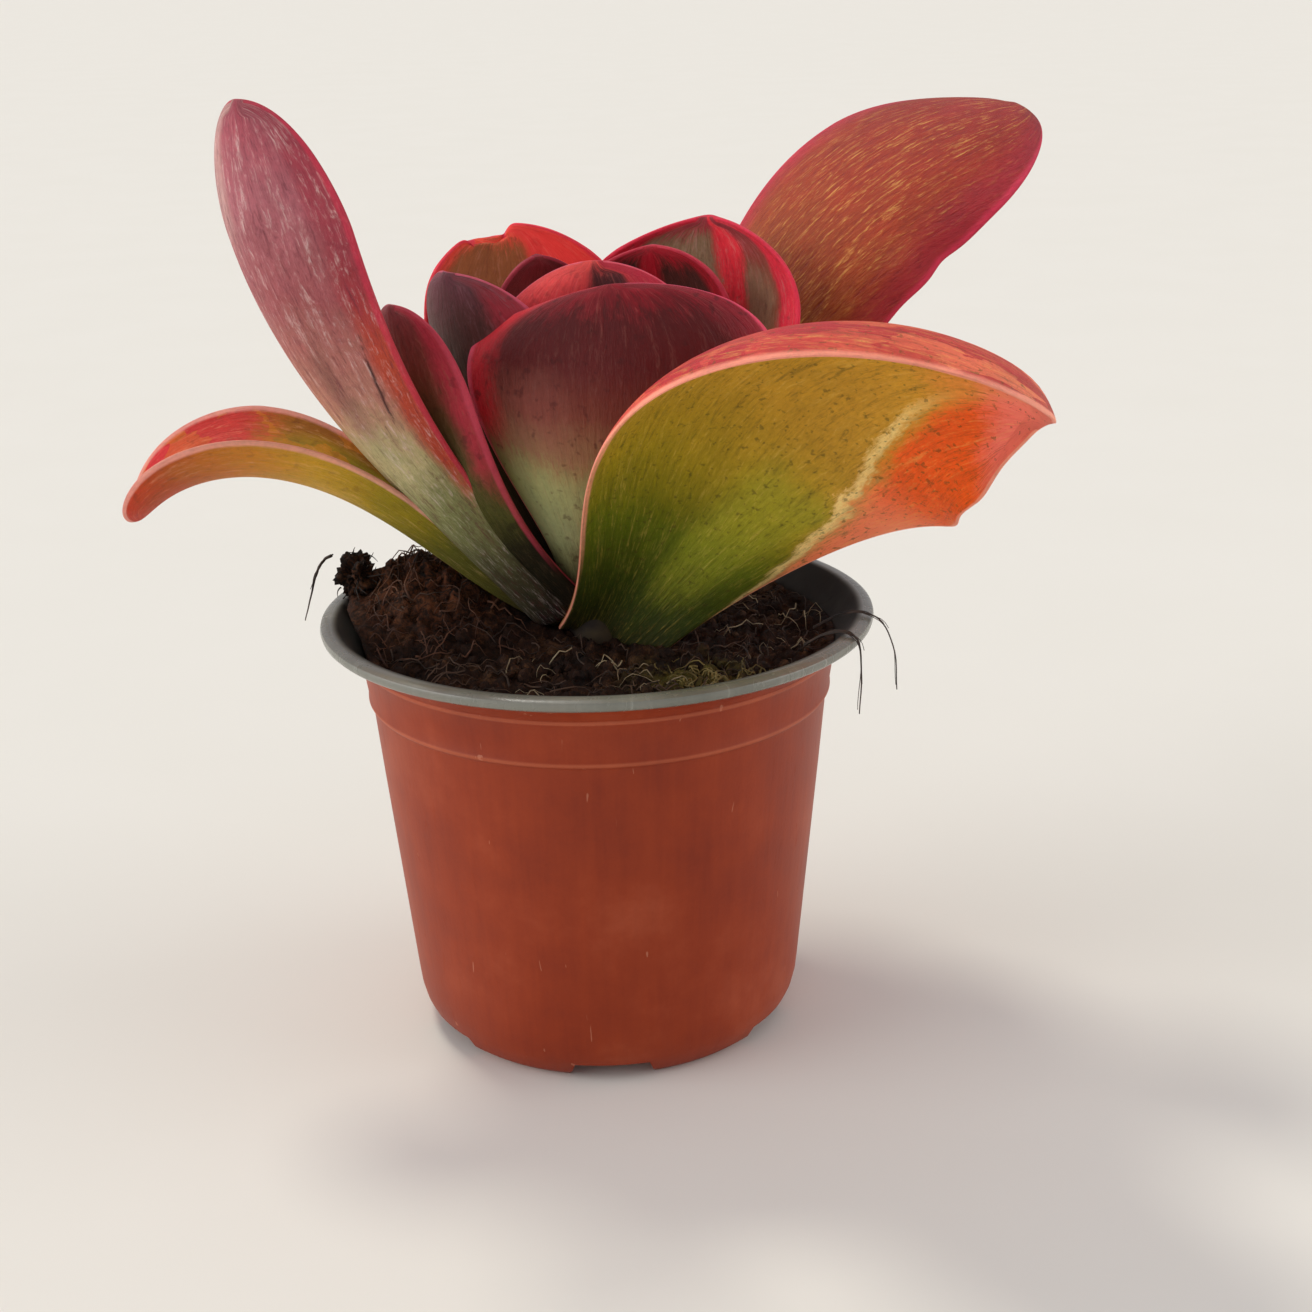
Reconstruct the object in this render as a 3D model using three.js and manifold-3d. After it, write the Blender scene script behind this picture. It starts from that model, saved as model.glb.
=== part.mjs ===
// A potted kalanchoe: a paddle-leaved succulent in a 12 cm thin-walled plastic nursery pot.
// Millimetres, +Z up. The origin is on the pot's axis, at the level of its feet.
import * as THREE from "three";
import { mergeVertices } from "three/addons/utils/BufferGeometryUtils.js";
import Module from "manifold-3d";

const wasm = await Module();
wasm.setup();

// ---- Driving dimensions ----

const potHeight = 94;
const rimRadius = 60; // outside of the rolled rim
const lipWidth = 4; // flat top of the rim, from its mouth outwards
const lipDrop = 2.6; // height of the rolled edge
const collarRadius = 50; // outside of the wall at the lower end of the collar
const collarHeight = 16.8; // from the step up to the rim's top
const heelRadius = 43.3; // outside of the wall where it turns in to the feet
const heelHeight = 10;
const footRadius = 38.2; // outside of the flat that each foot stands on
const footLand = 3.4; // width of that flat
const wall = 1;
const floorHeight = 4.4; // underside of the raised floor
const notchCount = 6;
const notchHeight = 3.3;
const notchWidth = 20;
const drainRadius = 4;
const drainCircle = 26;

const gap = 0.3; // between pieces that touch
const soilDrop = 6; // of the soil's level below the rim
const moundHeight = 16; // of the heap at the left above that level
const stemRadius = 6.5;
const stemLength = 44;
const stemBuried = 20; // of it below the soil's level
const leafThickness = 4.6; // at a leaf's foot, in the middle
const bladeThickness = 2.6; // near its tip, in the middle
const marginShare = 0.5; // thickness of a leaf's edge, as a share of its middle
const plantScale = 1; // length and width of every leaf
const crownLeaves = 3; // small ones round the growing tip
const rootRadius = 0.4; // of the loose root hairs
const roundSegments = 48; // facets round the pot and the soil

const soilLevel = potHeight - soilDrop;

// ---- Colours and finishes ----

const finish = {
  terracotta: { color: 0x9c4427, roughness: 0.5, metalness: 0 },
  peat: { color: 0x1d120b, roughness: 1, metalness: 0 },
  stem: { color: 0x6f6b45, roughness: 0.7, metalness: 0 },
  root: { color: 0x2a1a12, roughness: 0.9, metalness: 0 },
  mauve: { color: 0x9e6161, roughness: 0.55, metalness: 0 },
  coral: { color: 0xc25a3c, roughness: 0.45, metalness: 0 },
  brick: { color: 0x9b4c2e, roughness: 0.5, metalness: 0 },
  olive: { color: 0x8a6c24, roughness: 0.45, metalness: 0 },
  maroon: { color: 0x5a2422, roughness: 0.5, metalness: 0 },
  crimson: { color: 0x9b2a2c, roughness: 0.5, metalness: 0 },
  sage: { color: 0x76804a, roughness: 0.6, metalness: 0 },
};

const kalanchoe = new THREE.Group();

function addMesh(name, geometry, look) {
  const mesh = new THREE.Mesh(geometry, new THREE.MeshStandardMaterial(finish[look]));
  mesh.name = name;
  kalanchoe.add(mesh);
}

// ---- Solids ----

// The geometry's surface as a manifold-3d solid, for cutting.
function toSolid(geometry) {
  const bare = geometry.clone();
  bare.deleteAttribute("normal");
  bare.deleteAttribute("uv");
  const merged = mergeVertices(bare, 1e-4);
  return new wasm.Manifold(
    new wasm.Mesh({
      numProp: 3,
      vertProperties: merged.attributes.position.array,
      triVerts: new Uint32Array(merged.index.array),
    }),
  );
}

function toGeometry(solid) {
  const mesh = solid.getMesh();
  const geometry = new THREE.BufferGeometry();
  geometry.setAttribute("position", new THREE.BufferAttribute(mesh.vertProperties, 3));
  geometry.setIndex(new THREE.BufferAttribute(mesh.triVerts, 1));
  geometry.computeVertexNormals();
  return geometry;
}

// A cut can leave loose chips beside the piece itself.
function largestBody(solid) {
  return solid.decompose().reduce((a, b) => (b.volume() > a.volume() ? b : a));
}

// The solid cut back from what it lies on, by the gap, above and on all four sides of it.
function cutClear(solid, under) {
  const shifts = [[0, 0, gap], [gap, 0, 0], [-gap, 0, 0], [0, gap, 0], [0, -gap, 0]];
  return shifts.reduce((rest, shift) => rest.subtract(under.translate(shift)), solid);
}

function lathe(profile, segments) {
  const points = profile.map(([radius, height]) => new THREE.Vector2(radius, height));
  const geometry = new THREE.LatheGeometry(points, segments);
  geometry.rotateX(Math.PI / 2); // its axis becomes +Z
  return geometry;
}

// ---- Nursery pot ----

const mouthRadius = rimRadius - lipWidth;
const stepHeight = potHeight - collarHeight;
const neckRadius = collarRadius + 2; // outside of the wall just under the rim's flare
const neckHeight = potHeight - 7.5;

// Inside of the wall from the floor's corner up to the mouth; the soil's side follows it too.
const insideProfile = [
  [heelRadius - wall - 2.5, floorHeight + wall + 1.6],
  [heelRadius - wall, heelHeight],
  [collarRadius - wall, stepHeight],
  [neckRadius - wall, neckHeight],
  [mouthRadius - 1, potHeight - 1.6],
];

const potProfile = [
  [0, floorHeight + wall],
  [heelRadius - wall - 6, floorHeight + wall],
  ...insideProfile,
  [mouthRadius, potHeight],
  [rimRadius - 1, potHeight],
  [rimRadius, potHeight - 0.9],
  [rimRadius - 0.2, potHeight - lipDrop + 0.4],
  [rimRadius - 1.2, potHeight - lipDrop],
  [mouthRadius + 0.8, potHeight - lipDrop - 0.6],
  [neckRadius + 0.9, neckHeight + 1],
  [neckRadius, neckHeight],
  [collarRadius + 0.5, stepHeight + 0.6],
  [collarRadius, stepHeight - 0.4],
  [heelRadius, heelHeight],
  [heelRadius - 0.9, heelHeight - 4.2],
  [footRadius + 2.4, 1.9],
  [footRadius, 0],
  [footRadius - footLand, 0],
  [footRadius - footLand - 2, floorHeight],
  [0, floorHeight],
];

// A notch between two feet, on the +X side: sloping ends, cut through the foot ring.
function notchSolid() {
  const half = notchWidth / 2;
  const slope = notchHeight;
  const outline = new THREE.Shape();
  outline.moveTo(-half, -1);
  outline.lineTo(half, -1);
  outline.lineTo(half - slope / 2, notchHeight);
  outline.lineTo(slope / 2 - half, notchHeight);
  outline.closePath();
  const depth = footLand + 14;
  const geometry = new THREE.ExtrudeGeometry(outline, { depth, bevelEnabled: false });
  geometry.rotateX(Math.PI / 2);
  geometry.rotateZ(Math.PI / 2);
  geometry.translate(footRadius - footLand - 7, 0, 0);
  return toSolid(geometry);
}

function drainSolid() {
  const geometry = new THREE.CylinderGeometry(drainRadius, drainRadius, 4 * wall, 16);
  geometry.rotateX(Math.PI / 2);
  geometry.translate(drainCircle, 0, floorHeight + wall / 2);
  return toSolid(geometry);
}

function potSolid() {
  let pot = toSolid(lathe([...potProfile].reverse(), roundSegments));
  for (let i = 0; i < notchCount; i += 1) {
    const turn = 30 + (i * 360) / notchCount;
    pot = pot.subtract(notchSolid().rotate([0, 0, turn]));
    pot = pot.subtract(drainSolid().rotate([0, 0, turn]));
  }
  return pot;
}

// ---- Leaves ----

// Each leaf grows along a spine that leaves the stem at azimuth (0 is +X, 90 is +Y), swings by
// sway on its way and rises at the three angles at its foot, middle and tip. Its foot starts at
// out from the axis and at lift above the soil. Twist turns it round its spine. Cup bends its
// whole width towards the upper face, and curl adds a turn that grows towards each margin.
const none = { turn: 0, power: 3 };
const leaves = [
  {
    name: "leaf_front_flap", look: "olive", azimuth: -51, sway: 29, rise: [48, 40, -32],
    length: 130, width: 95, widest: 0.67, neck: 0.25, blunt: 2, out: 1.8, lift: -0.8,
    twist: [-60, -53], cup: -71, curlRight: { turn: -17, power: 3.6 }, curlLeft: { turn: 95, power: 1 },
  },
  {
    name: "leaf_tall_left", look: "mauve", azimuth: 204, sway: 33, rise: [50, 55, 88],
    length: 135, width: 35, widest: 0.8, neck: 0.38, blunt: 1.7, out: 10, lift: 4.2,
    twist: [41, -1], cup: 49, curlRight: none, curlLeft: { turn: -49, power: 3 },
  },
  {
    name: "leaf_arched_left", look: "coral", azimuth: 185, sway: -1, rise: [24, 31, -52],
    length: 102, width: 45, widest: 0.75, neck: 0.2, blunt: 2, out: 8, lift: 3.5,
    twist: [16, 1], cup: 60, curlRight: { turn: 10, power: 3 }, curlLeft: { turn: -32, power: 3 },
  },
  {
    name: "leaf_tall_right", look: "brick", azimuth: 20, sway: -3, rise: [45, 59, -5],
    length: 146, width: 71, widest: 0.8, neck: 0.25, blunt: 2, out: 5, lift: 6.3,
    twist: [22, 4], cup: -8, curlRight: { turn: -58, power: 3 }, curlLeft: { turn: -5, power: 3 },
  },
  {
    name: "leaf_front_centre", look: "maroon", azimuth: -80, sway: 1, rise: [59, 68, 107],
    length: 76, width: 68, widest: 0.75, neck: 0.25, blunt: 2.4, out: 4.3, lift: 9.7,
    twist: [11, -28], cup: 39, curlRight: none, curlLeft: none,
  },
  {
    name: "leaf_narrow_left", look: "maroon", azimuth: -154, sway: 10, rise: [43, 59, 89],
    length: 81, width: 30, widest: 0.74, neck: 0.5, blunt: 2, out: 6.3, lift: 7.5,
    twist: [5, 6], cup: 39, curlRight: none, curlLeft: none,
  },
  {
    name: "leaf_dusky_left", look: "maroon", azimuth: -169, sway: 10, rise: [66, 68, 92],
    length: 75, width: 51, widest: 0.63, neck: 0.34, blunt: 2.1, out: 5.8, lift: 10,
    twist: [4, 22], cup: 60, curlRight: none, curlLeft: none,
  },
  {
    name: "leaf_notched_back", look: "crimson", azimuth: 123, sway: -10, rise: [70, 61, 85],
    length: 75, width: 53, widest: 0.6, neck: 0.29, blunt: 2, out: 5.8, lift: 16.7,
    twist: [-3, -9], cup: 35, curlRight: none, curlLeft: none,
  },
  {
    name: "leaf_back_right", look: "crimson", azimuth: 29, sway: 12, rise: [67, 62, 113],
    length: 83, width: 65, widest: 0.7, neck: 0.3, blunt: 2.3, out: 5.1, lift: 11.8,
    twist: [3, 11], cup: 36, curlRight: none, curlLeft: none,
  },
  {
    name: "leaf_coral_centre", look: "coral", azimuth: -82, sway: -7, rise: [86, 79, 100],
    length: 66, width: 53, widest: 0.62, neck: 0.33, blunt: 1.8, out: 4, lift: 17.4,
    twist: [-1, -10], cup: 49, curlRight: none, curlLeft: none,
  },
  {
    name: "leaf_inner_right", look: "crimson", azimuth: 35, sway: 8, rise: [57, 79, 107],
    length: 74, width: 44, widest: 0.74, neck: 0.34, blunt: 2.4, out: 4.5, lift: 11.8,
    twist: [4, 23], cup: 36, curlRight: none, curlLeft: none,
  },
  {
    name: "leaf_inner_dark", look: "maroon", azimuth: 134, sway: -10, rise: [67, 78, 113],
    length: 65, width: 31, widest: 0.71, neck: 0.31, blunt: 2.4, out: 5.8, lift: 18.3,
    twist: [-1, -2], cup: 44, curlRight: none, curlLeft: none,
  },
  {
    name: "leaf_low_back", look: "sage", azimuth: 84, sway: 4, rise: [48, 36, 8],
    length: 99, width: 60, widest: 0.7, neck: 0.36, blunt: 2.3, out: 6, lift: 4,
    twist: [0, 0], cup: 25, curlRight: none, curlLeft: none,
  },
  {
    name: "leaf_low_back_right", look: "sage", azimuth: 40, sway: 4, rise: [38, 28, 5],
    length: 80, width: 44, widest: 0.7, neck: 0.4, blunt: 2.3, out: 6, lift: 2,
    twist: [0, 0], cup: 25, curlRight: none, curlLeft: none,
  },
  {
    name: "leaf_low_back_left", look: "sage", azimuth: 140, sway: 4, rise: [45, 38, 20],
    length: 72, width: 42, widest: 0.7, neck: 0.4, blunt: 2.3, out: 6, lift: 6,
    twist: [0, 0], cup: 25, curlRight: none, curlLeft: none,
  },
];

const alongSteps = 12; // stations along a leaf, closer together towards the tip
const spineSteps = 24; // for adding up the spine

const radians = THREE.MathUtils.degToRad;

// A value that runs through three given ones, at the foot, the middle and the tip.
function through([atFoot, atMiddle, atTip], t) {
  return atFoot * (1 - t) * (1 - 2 * t) + atMiddle * 4 * t * (1 - t) + atTip * t * (2 * t - 1);
}

function headingAt(leaf, t) {
  return radians(leaf.azimuth + leaf.sway * t);
}

function alongAt(leaf, t) {
  const heading = headingAt(leaf, t);
  const rise = radians(through(leaf.rise, t));
  return new THREE.Vector3(
    Math.cos(rise) * Math.cos(heading),
    Math.cos(rise) * Math.sin(heading),
    Math.sin(rise),
  );
}

function placeAt(leaf, t) {
  const azimuth = radians(leaf.azimuth);
  const place = new THREE.Vector3(
    leaf.out * Math.cos(azimuth),
    leaf.out * Math.sin(azimuth),
    soilLevel + leaf.lift,
  );
  const stride = (t * leaf.length * plantScale) / spineSteps;
  for (let i = 0; i < spineSteps; i += 1) {
    place.addScaledVector(alongAt(leaf, (t * (i + 0.5)) / spineSteps), stride);
  }
  return place;
}

// Half the width: narrow at the foot, full at the share called widest, round at the tip.
function halfWidthAt(leaf, t) {
  const full = (leaf.width * plantScale) / 2;
  if (t < leaf.widest) {
    const u = t / leaf.widest;
    return full * (leaf.neck + (1 - leaf.neck) * u * u * (3 - 2 * u));
  }
  const u = (t - leaf.widest) / (1 - leaf.widest);
  return full * Math.sqrt(Math.max(0, 1 - u ** leaf.blunt));
}

function thicknessAt(t, s) {
  const middle = leafThickness + (bladeThickness - leafThickness) * t ** 0.6;
  return middle * (1 - (1 - marginShare) * s * s);
}

// Steps from the middle of a section to each margin.
function acrossSteps(leaf) {
  if (leaf.width < 20) return 2;
  return leaf.width > 60 ? 4 : 3;
}

// The points of one section from its middle to one margin, on the upper or lower face.
function halfSection(leaf, t, side, face, grow) {
  const along = alongAt(leaf, t);
  const heading = headingAt(leaf, t);
  const twist = radians(THREE.MathUtils.lerp(leaf.twist[0], leaf.twist[1], t));
  const across = new THREE.Vector3(-Math.sin(heading), Math.cos(heading), 0);
  across.applyAxisAngle(along, twist);
  const up = new THREE.Vector3().crossVectors(along, across);
  const curl = side < 0 ? leaf.curlRight : leaf.curlLeft;
  const share = Math.sin(Math.PI * t ** 0.8) ** 0.6;
  const turnAt = (s) => radians(leaf.cup * s + curl.turn * share * s ** curl.power);
  const steps = acrossSteps(leaf);
  const stride = (halfWidthAt(leaf, t) + grow) / steps;
  const point = placeAt(leaf, t);
  const row = [];
  for (let j = 0; j <= steps; j += 1) {
    const s = j / steps;
    const offset = face * (thicknessAt(t, s) / 2 + grow);
    const surface = point.clone().addScaledVector(up, Math.cos(turnAt(s)) * offset);
    row.push(surface.addScaledVector(across, -side * Math.sin(turnAt(s)) * offset));
    const middle = turnAt(s + 0.5 / steps);
    point.addScaledVector(across, side * Math.cos(middle) * stride);
    point.addScaledVector(up, Math.sin(middle) * stride);
  }
  return row;
}

// One closed section: the upper face from the right margin to the left one, and the lower back.
function section(leaf, t, grow) {
  const upperRight = halfSection(leaf, t, -1, 1, grow).slice(1);
  const upperLeft = halfSection(leaf, t, 1, 1, grow);
  const lowerLeft = halfSection(leaf, t, 1, -1, grow).slice(1);
  const lowerRight = halfSection(leaf, t, -1, -1, grow);
  return [...upperRight.reverse(), ...upperLeft, ...lowerLeft.reverse(), ...lowerRight];
}

// A closed skin over rings of points, with a fan to a point at each end.
function skin(rings, start, finish) {
  const count = rings[0].length;
  const points = [...rings.flat(), start, finish];
  const faces = [];
  const end = (rings.length - 1) * count;
  for (let j = 0; j < count; j += 1) {
    const next = (j + 1) % count;
    for (let k = 0; k < end; k += count) {
      faces.push(k + j, k + next + count, k + next, k + j, k + j + count, k + next + count);
    }
    faces.push(end + count, j, next, end + count + 1, end + next, end + j);
  }
  const geometry = new THREE.BufferGeometry().setFromPoints(points);
  geometry.setIndex(faces);
  return geometry;
}

// A leaf's solid; grow makes it that much thicker and wider all round.
function leafSolid(leaf, grow = 0) {
  const rings = [];
  for (let i = 0; i < alongSteps; i += 1) {
    rings.push(section(leaf, Math.sin((Math.PI * i) / alongSteps / 2), grow));
  }
  const foot = placeAt(leaf, 0);
  const tip = placeAt(leaf, 1).addScaledVector(alongAt(leaf, 1), grow);
  return toSolid(skin(rings, foot, tip));
}

// ---- Soil ----

// Inside radius of the pot's wall at a height between its floor and its mouth.
function insideRadius(height) {
  const upper = insideProfile.findIndex((point) => point[1] >= height);
  const [r0, z0] = insideProfile[upper - 1];
  const [r1, z1] = insideProfile[upper];
  return r0 + ((r1 - r0) * (height - z0)) / (z1 - z0);
}

const crumbHeight = 0.7; // of the unevenness of its top
const soilRadius = insideRadius(soilLevel - crumbHeight) - gap;
const mound = { x: -0.66 * soilRadius, y: 0.24 * soilRadius, spread: 0.3 * soilRadius };

function soilHeight(x, y) {
  const away = Math.hypot(x - mound.x, y - mound.y) / mound.spread;
  const heap = moundHeight * Math.exp((-away * away) / 2);
  const crumbs = crumbHeight * Math.sin(0.42 * x + 0.9) * Math.cos(0.37 * y - 0.4);
  return soilLevel + heap + crumbs;
}

function soilGeometry() {
  const side = insideProfile
    .filter((point) => point[1] < soilLevel - crumbHeight - gap)
    .map(([radius, height]) => [radius - gap, height + gap]);
  const bottom = floorHeight + wall + gap;
  const top = [0.9, 0.78, 0.64, 0.5, 0.36, 0.2].map((share) => [share * soilRadius, soilLevel]);
  const profile = [
    [0, bottom],
    [side[0][0] - 3, bottom],
    ...side,
    [soilRadius, soilLevel],
    ...top,
    [0, soilLevel],
  ];
  const geometry = lathe(profile, roundSegments);
  const place = geometry.attributes.position;
  for (let i = 0; i < place.count; i += 1) {
    if (place.getZ(i) > soilLevel - 0.01) {
      place.setZ(i, soilHeight(place.getX(i), place.getY(i)));
    }
  }
  return geometry;
}

const clumpSize = [5.5, 8, 6]; // half of its extent along X, Y and Z
const clumpPlace = {
  x: -(mouthRadius - 2) * Math.cos(radians(12)),
  y: (mouthRadius - 2) * Math.sin(radians(12)),
  z: potHeight + 5.5,
};

// A loose lump of peat on the rim beside the mound.
function clumpSolid() {
  const geometry = new THREE.IcosahedronGeometry(1, 2);
  const place = geometry.attributes.position;
  const point = new THREE.Vector3();
  for (let i = 0; i < place.count; i += 1) {
    point.fromBufferAttribute(place, i);
    const lobes = 0.16 * Math.sin(4 * point.x + 1) * Math.cos(5 * point.y);
    const bump = 1 + lobes + 0.1 * Math.sin(6 * point.z);
    place.setXYZ(i, point.x * bump, point.y * bump, point.z * bump);
  }
  geometry.scale(...clumpSize);
  geometry.translate(clumpPlace.x, clumpPlace.y, clumpPlace.z);
  return toSolid(geometry);
}

// ---- Stem and root hairs ----

function stemSolid(grow = 0) {
  const radius = stemRadius + grow;
  const foot = soilLevel - stemBuried - grow;
  const head = foot + stemLength + 2 * grow;
  const profile = [
    [0, foot],
    [0.7 * radius, foot],
    [radius, foot + 3],
    [radius, head - 8],
    [0.8 * radius, head - 2.5],
    [0.5 * radius, head],
    [0, head],
  ];
  return toSolid(lathe(profile, 20));
}

// A thin root through points given as azimuth, radius beyond the rim and height above the rim.
function rootGeometry(points) {
  const path = new THREE.CatmullRomCurve3(points.map(([azimuth, beyond, above]) => {
    const turn = radians(azimuth);
    const radius = rimRadius + beyond;
    return new THREE.Vector3(radius * Math.cos(turn), radius * Math.sin(turn), potHeight + above);
  }));
  const outline = new THREE.Shape();
  outline.absarc(0, 0, rootRadius, 0, 2 * Math.PI);
  return new THREE.ExtrudeGeometry(outline, {
    steps: 14,
    curveSegments: 3,
    bevelEnabled: false,
    extrudePath: path,
  });
}

const onRim = rootRadius + gap; // centre line of a root above what it lies on
const onSoil = onRim + crumbHeight - soilDrop;
const rootHairs = {
  root_hair_right_long: [
    [-22, -13, onSoil],
    [-25, -7, -0.5],
    [-27, -2, onRim],
    [-28, 0.9, -1],
    [-30, 1.6, -16],
  ],
  root_hair_right_thin: [
    [-8, -13, onSoil],
    [-11, -7, -0.5],
    [-13, -2, onRim],
    [-14, 1.2, -1.5],
    [-15, 5, -16],
  ],
  root_hair_left: [
    [166, 0.5, 9],
    [168, 2, 8],
    [169, 4, 4],
    [170, 4.5, -1],
    [171, 6, -5],
  ],
};

// ---- Build ----

const pot = potSolid();
const stem = stemSolid();
addMesh("nursery_pot", toGeometry(pot), "terracotta");
addMesh("main_stem", toGeometry(stem), "stem");

const crown = Array.from({ length: crownLeaves }, (_, i) => ({
  name: `leaf_crown_${i + 1}`,
  look: "sage",
  azimuth: 20 + (i * 360) / crownLeaves,
  sway: 0,
  rise: [84, 82, 100],
  length: 28,
  width: 15,
  widest: 0.62,
  neck: 0.5,
  blunt: 2.2,
  out: 3.2,
  lift: stemLength - stemBuried + gap + 0.4,
  twist: [0, 0],
  cup: 40,
  curlRight: none,
  curlLeft: none,
}));

// Where leaves meet, the one built later is cut back to leave the gap.
const taken = [stemSolid(gap)];
for (const leaf of [...leaves, ...crown]) {
  let solid = leafSolid(leaf);
  for (const other of taken) solid = solid.subtract(other);
  taken.push(leafSolid(leaf, gap));
  addMesh(leaf.name, toGeometry(largestBody(solid)), leaf.look);
}

let soil = toSolid(soilGeometry());
for (const other of taken) soil = soil.subtract(other);
soil = largestBody(soil);
addMesh("potting_soil", toGeometry(soil), "peat");

const clump = cutClear(cutClear(clumpSolid(), soil), pot);
addMesh("soil_clump", toGeometry(largestBody(clump)), "peat");

for (const [name, points] of Object.entries(rootHairs)) {
  addMesh(name, rootGeometry(points), "root");
}

export default kalanchoe;
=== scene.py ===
# %% [markdown]
# # A potted kalanchoe
# A kalanchoe is a succulent whose thick, paddle-shaped leaves sit in a rosette on a short stem.
# This lesson starts from a packed model that already holds every piece at its real size. Each piece
# is made again with a fine surface, in the same place, and gets a finish built from nodes.

# %% Load the frame
import math

import bpy
import numpy as np
from mathutils import Euler, Matrix, Vector, noise


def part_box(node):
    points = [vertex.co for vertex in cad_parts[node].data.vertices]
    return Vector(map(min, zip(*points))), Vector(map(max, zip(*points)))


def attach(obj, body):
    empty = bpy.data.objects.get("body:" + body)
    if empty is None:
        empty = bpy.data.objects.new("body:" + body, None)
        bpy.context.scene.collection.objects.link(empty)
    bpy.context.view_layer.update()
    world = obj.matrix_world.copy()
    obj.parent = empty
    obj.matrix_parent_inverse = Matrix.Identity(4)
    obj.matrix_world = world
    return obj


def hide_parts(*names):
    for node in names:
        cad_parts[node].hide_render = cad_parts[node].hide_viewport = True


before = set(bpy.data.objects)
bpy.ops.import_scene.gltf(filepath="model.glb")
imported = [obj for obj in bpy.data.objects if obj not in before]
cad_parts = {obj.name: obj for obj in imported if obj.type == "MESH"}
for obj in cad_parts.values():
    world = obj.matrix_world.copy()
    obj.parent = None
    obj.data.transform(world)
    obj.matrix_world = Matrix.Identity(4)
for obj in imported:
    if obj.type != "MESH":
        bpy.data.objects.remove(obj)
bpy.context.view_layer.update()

MM = 0.001  # the model is in metres, and sizes here are easier to read in millimetres
scene = bpy.context.scene
scene.view_settings.view_transform = "Standard"
print("pieces in the frame:", len(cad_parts))

# %% [markdown]
# ## Camera
# The camera stands a little above the leaf tips and looks down by about 19 degrees, close enough
# that the near leaves look larger. A matrix places it: its columns are right, up and back.

# %% Camera
camera_data = bpy.data.cameras.new("camera")
camera_data.lens = 57.62
camera_data.sensor_width = 36
camera_data.clip_start = 0.01
camera = bpy.data.objects.new("camera", camera_data)
scene.collection.objects.link(camera)
right = Vector((0.99908, -0.03651, -0.02243))
up = Vector((0.03319, 0.32812, 0.94405))
back = Vector((-0.02711, -0.94393, 0.32903))
turn = Matrix((right, up, back)).transposed().to_4x4()
camera.matrix_world = Matrix.Translation((0, -0.4365, 0.23405)) @ turn
scene.camera = camera
print("camera at", [round(v, 3) for v in camera.location])

# %% [markdown]
# ## Light
# The light is that of a pale studio. A warm lamp high at the back left throws one soft shadow to
# the front right, two broad lamps low at the sides fill the pot and the leaves, and a pale sky does
# the rest. Sun lamps keep the floor evenly bright as far as it goes, and a lamp's angle sets how
# soft its shadow is.

# %% Lamps and sky
def sun(name, azimuth, elevation, strength, angle, colour=(1, 1, 1)):
    """A sun lamp that shines from that azimuth and elevation, in degrees."""
    data = bpy.data.lights.new(name, "SUN")
    data.energy = strength
    data.angle = math.radians(angle)
    data.color = colour
    lamp = bpy.data.objects.new(name, data)
    scene.collection.objects.link(lamp)
    lamp.rotation_euler = Euler((math.radians(90 - elevation), 0, math.radians(90 + azimuth)))


sun("key_lamp", 126, 61, 1.06, 13, (1, 0.98, 0.88))
sun("left_lamp", -168, 12, 1.9, 50)
sun("right_lamp", -4, 12, 1.3, 50)
sky = bpy.data.worlds.new("sky")
scene.world = sky
sky.use_nodes = True
air = sky.node_tree.nodes["Background"]
air.inputs["Color"].default_value = (0.96, 0.94, 1, 1)
air.inputs["Strength"].default_value = 0.545

# %% [markdown]
# ## Shader expressions
# A material's pattern is a sum: a ramp here, a mask times a noise there. Wiring that by hand takes a
# dozen calls for one line of algebra, so a small class wraps a node's output and lets Python's own
# operators add the Math nodes.

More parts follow.
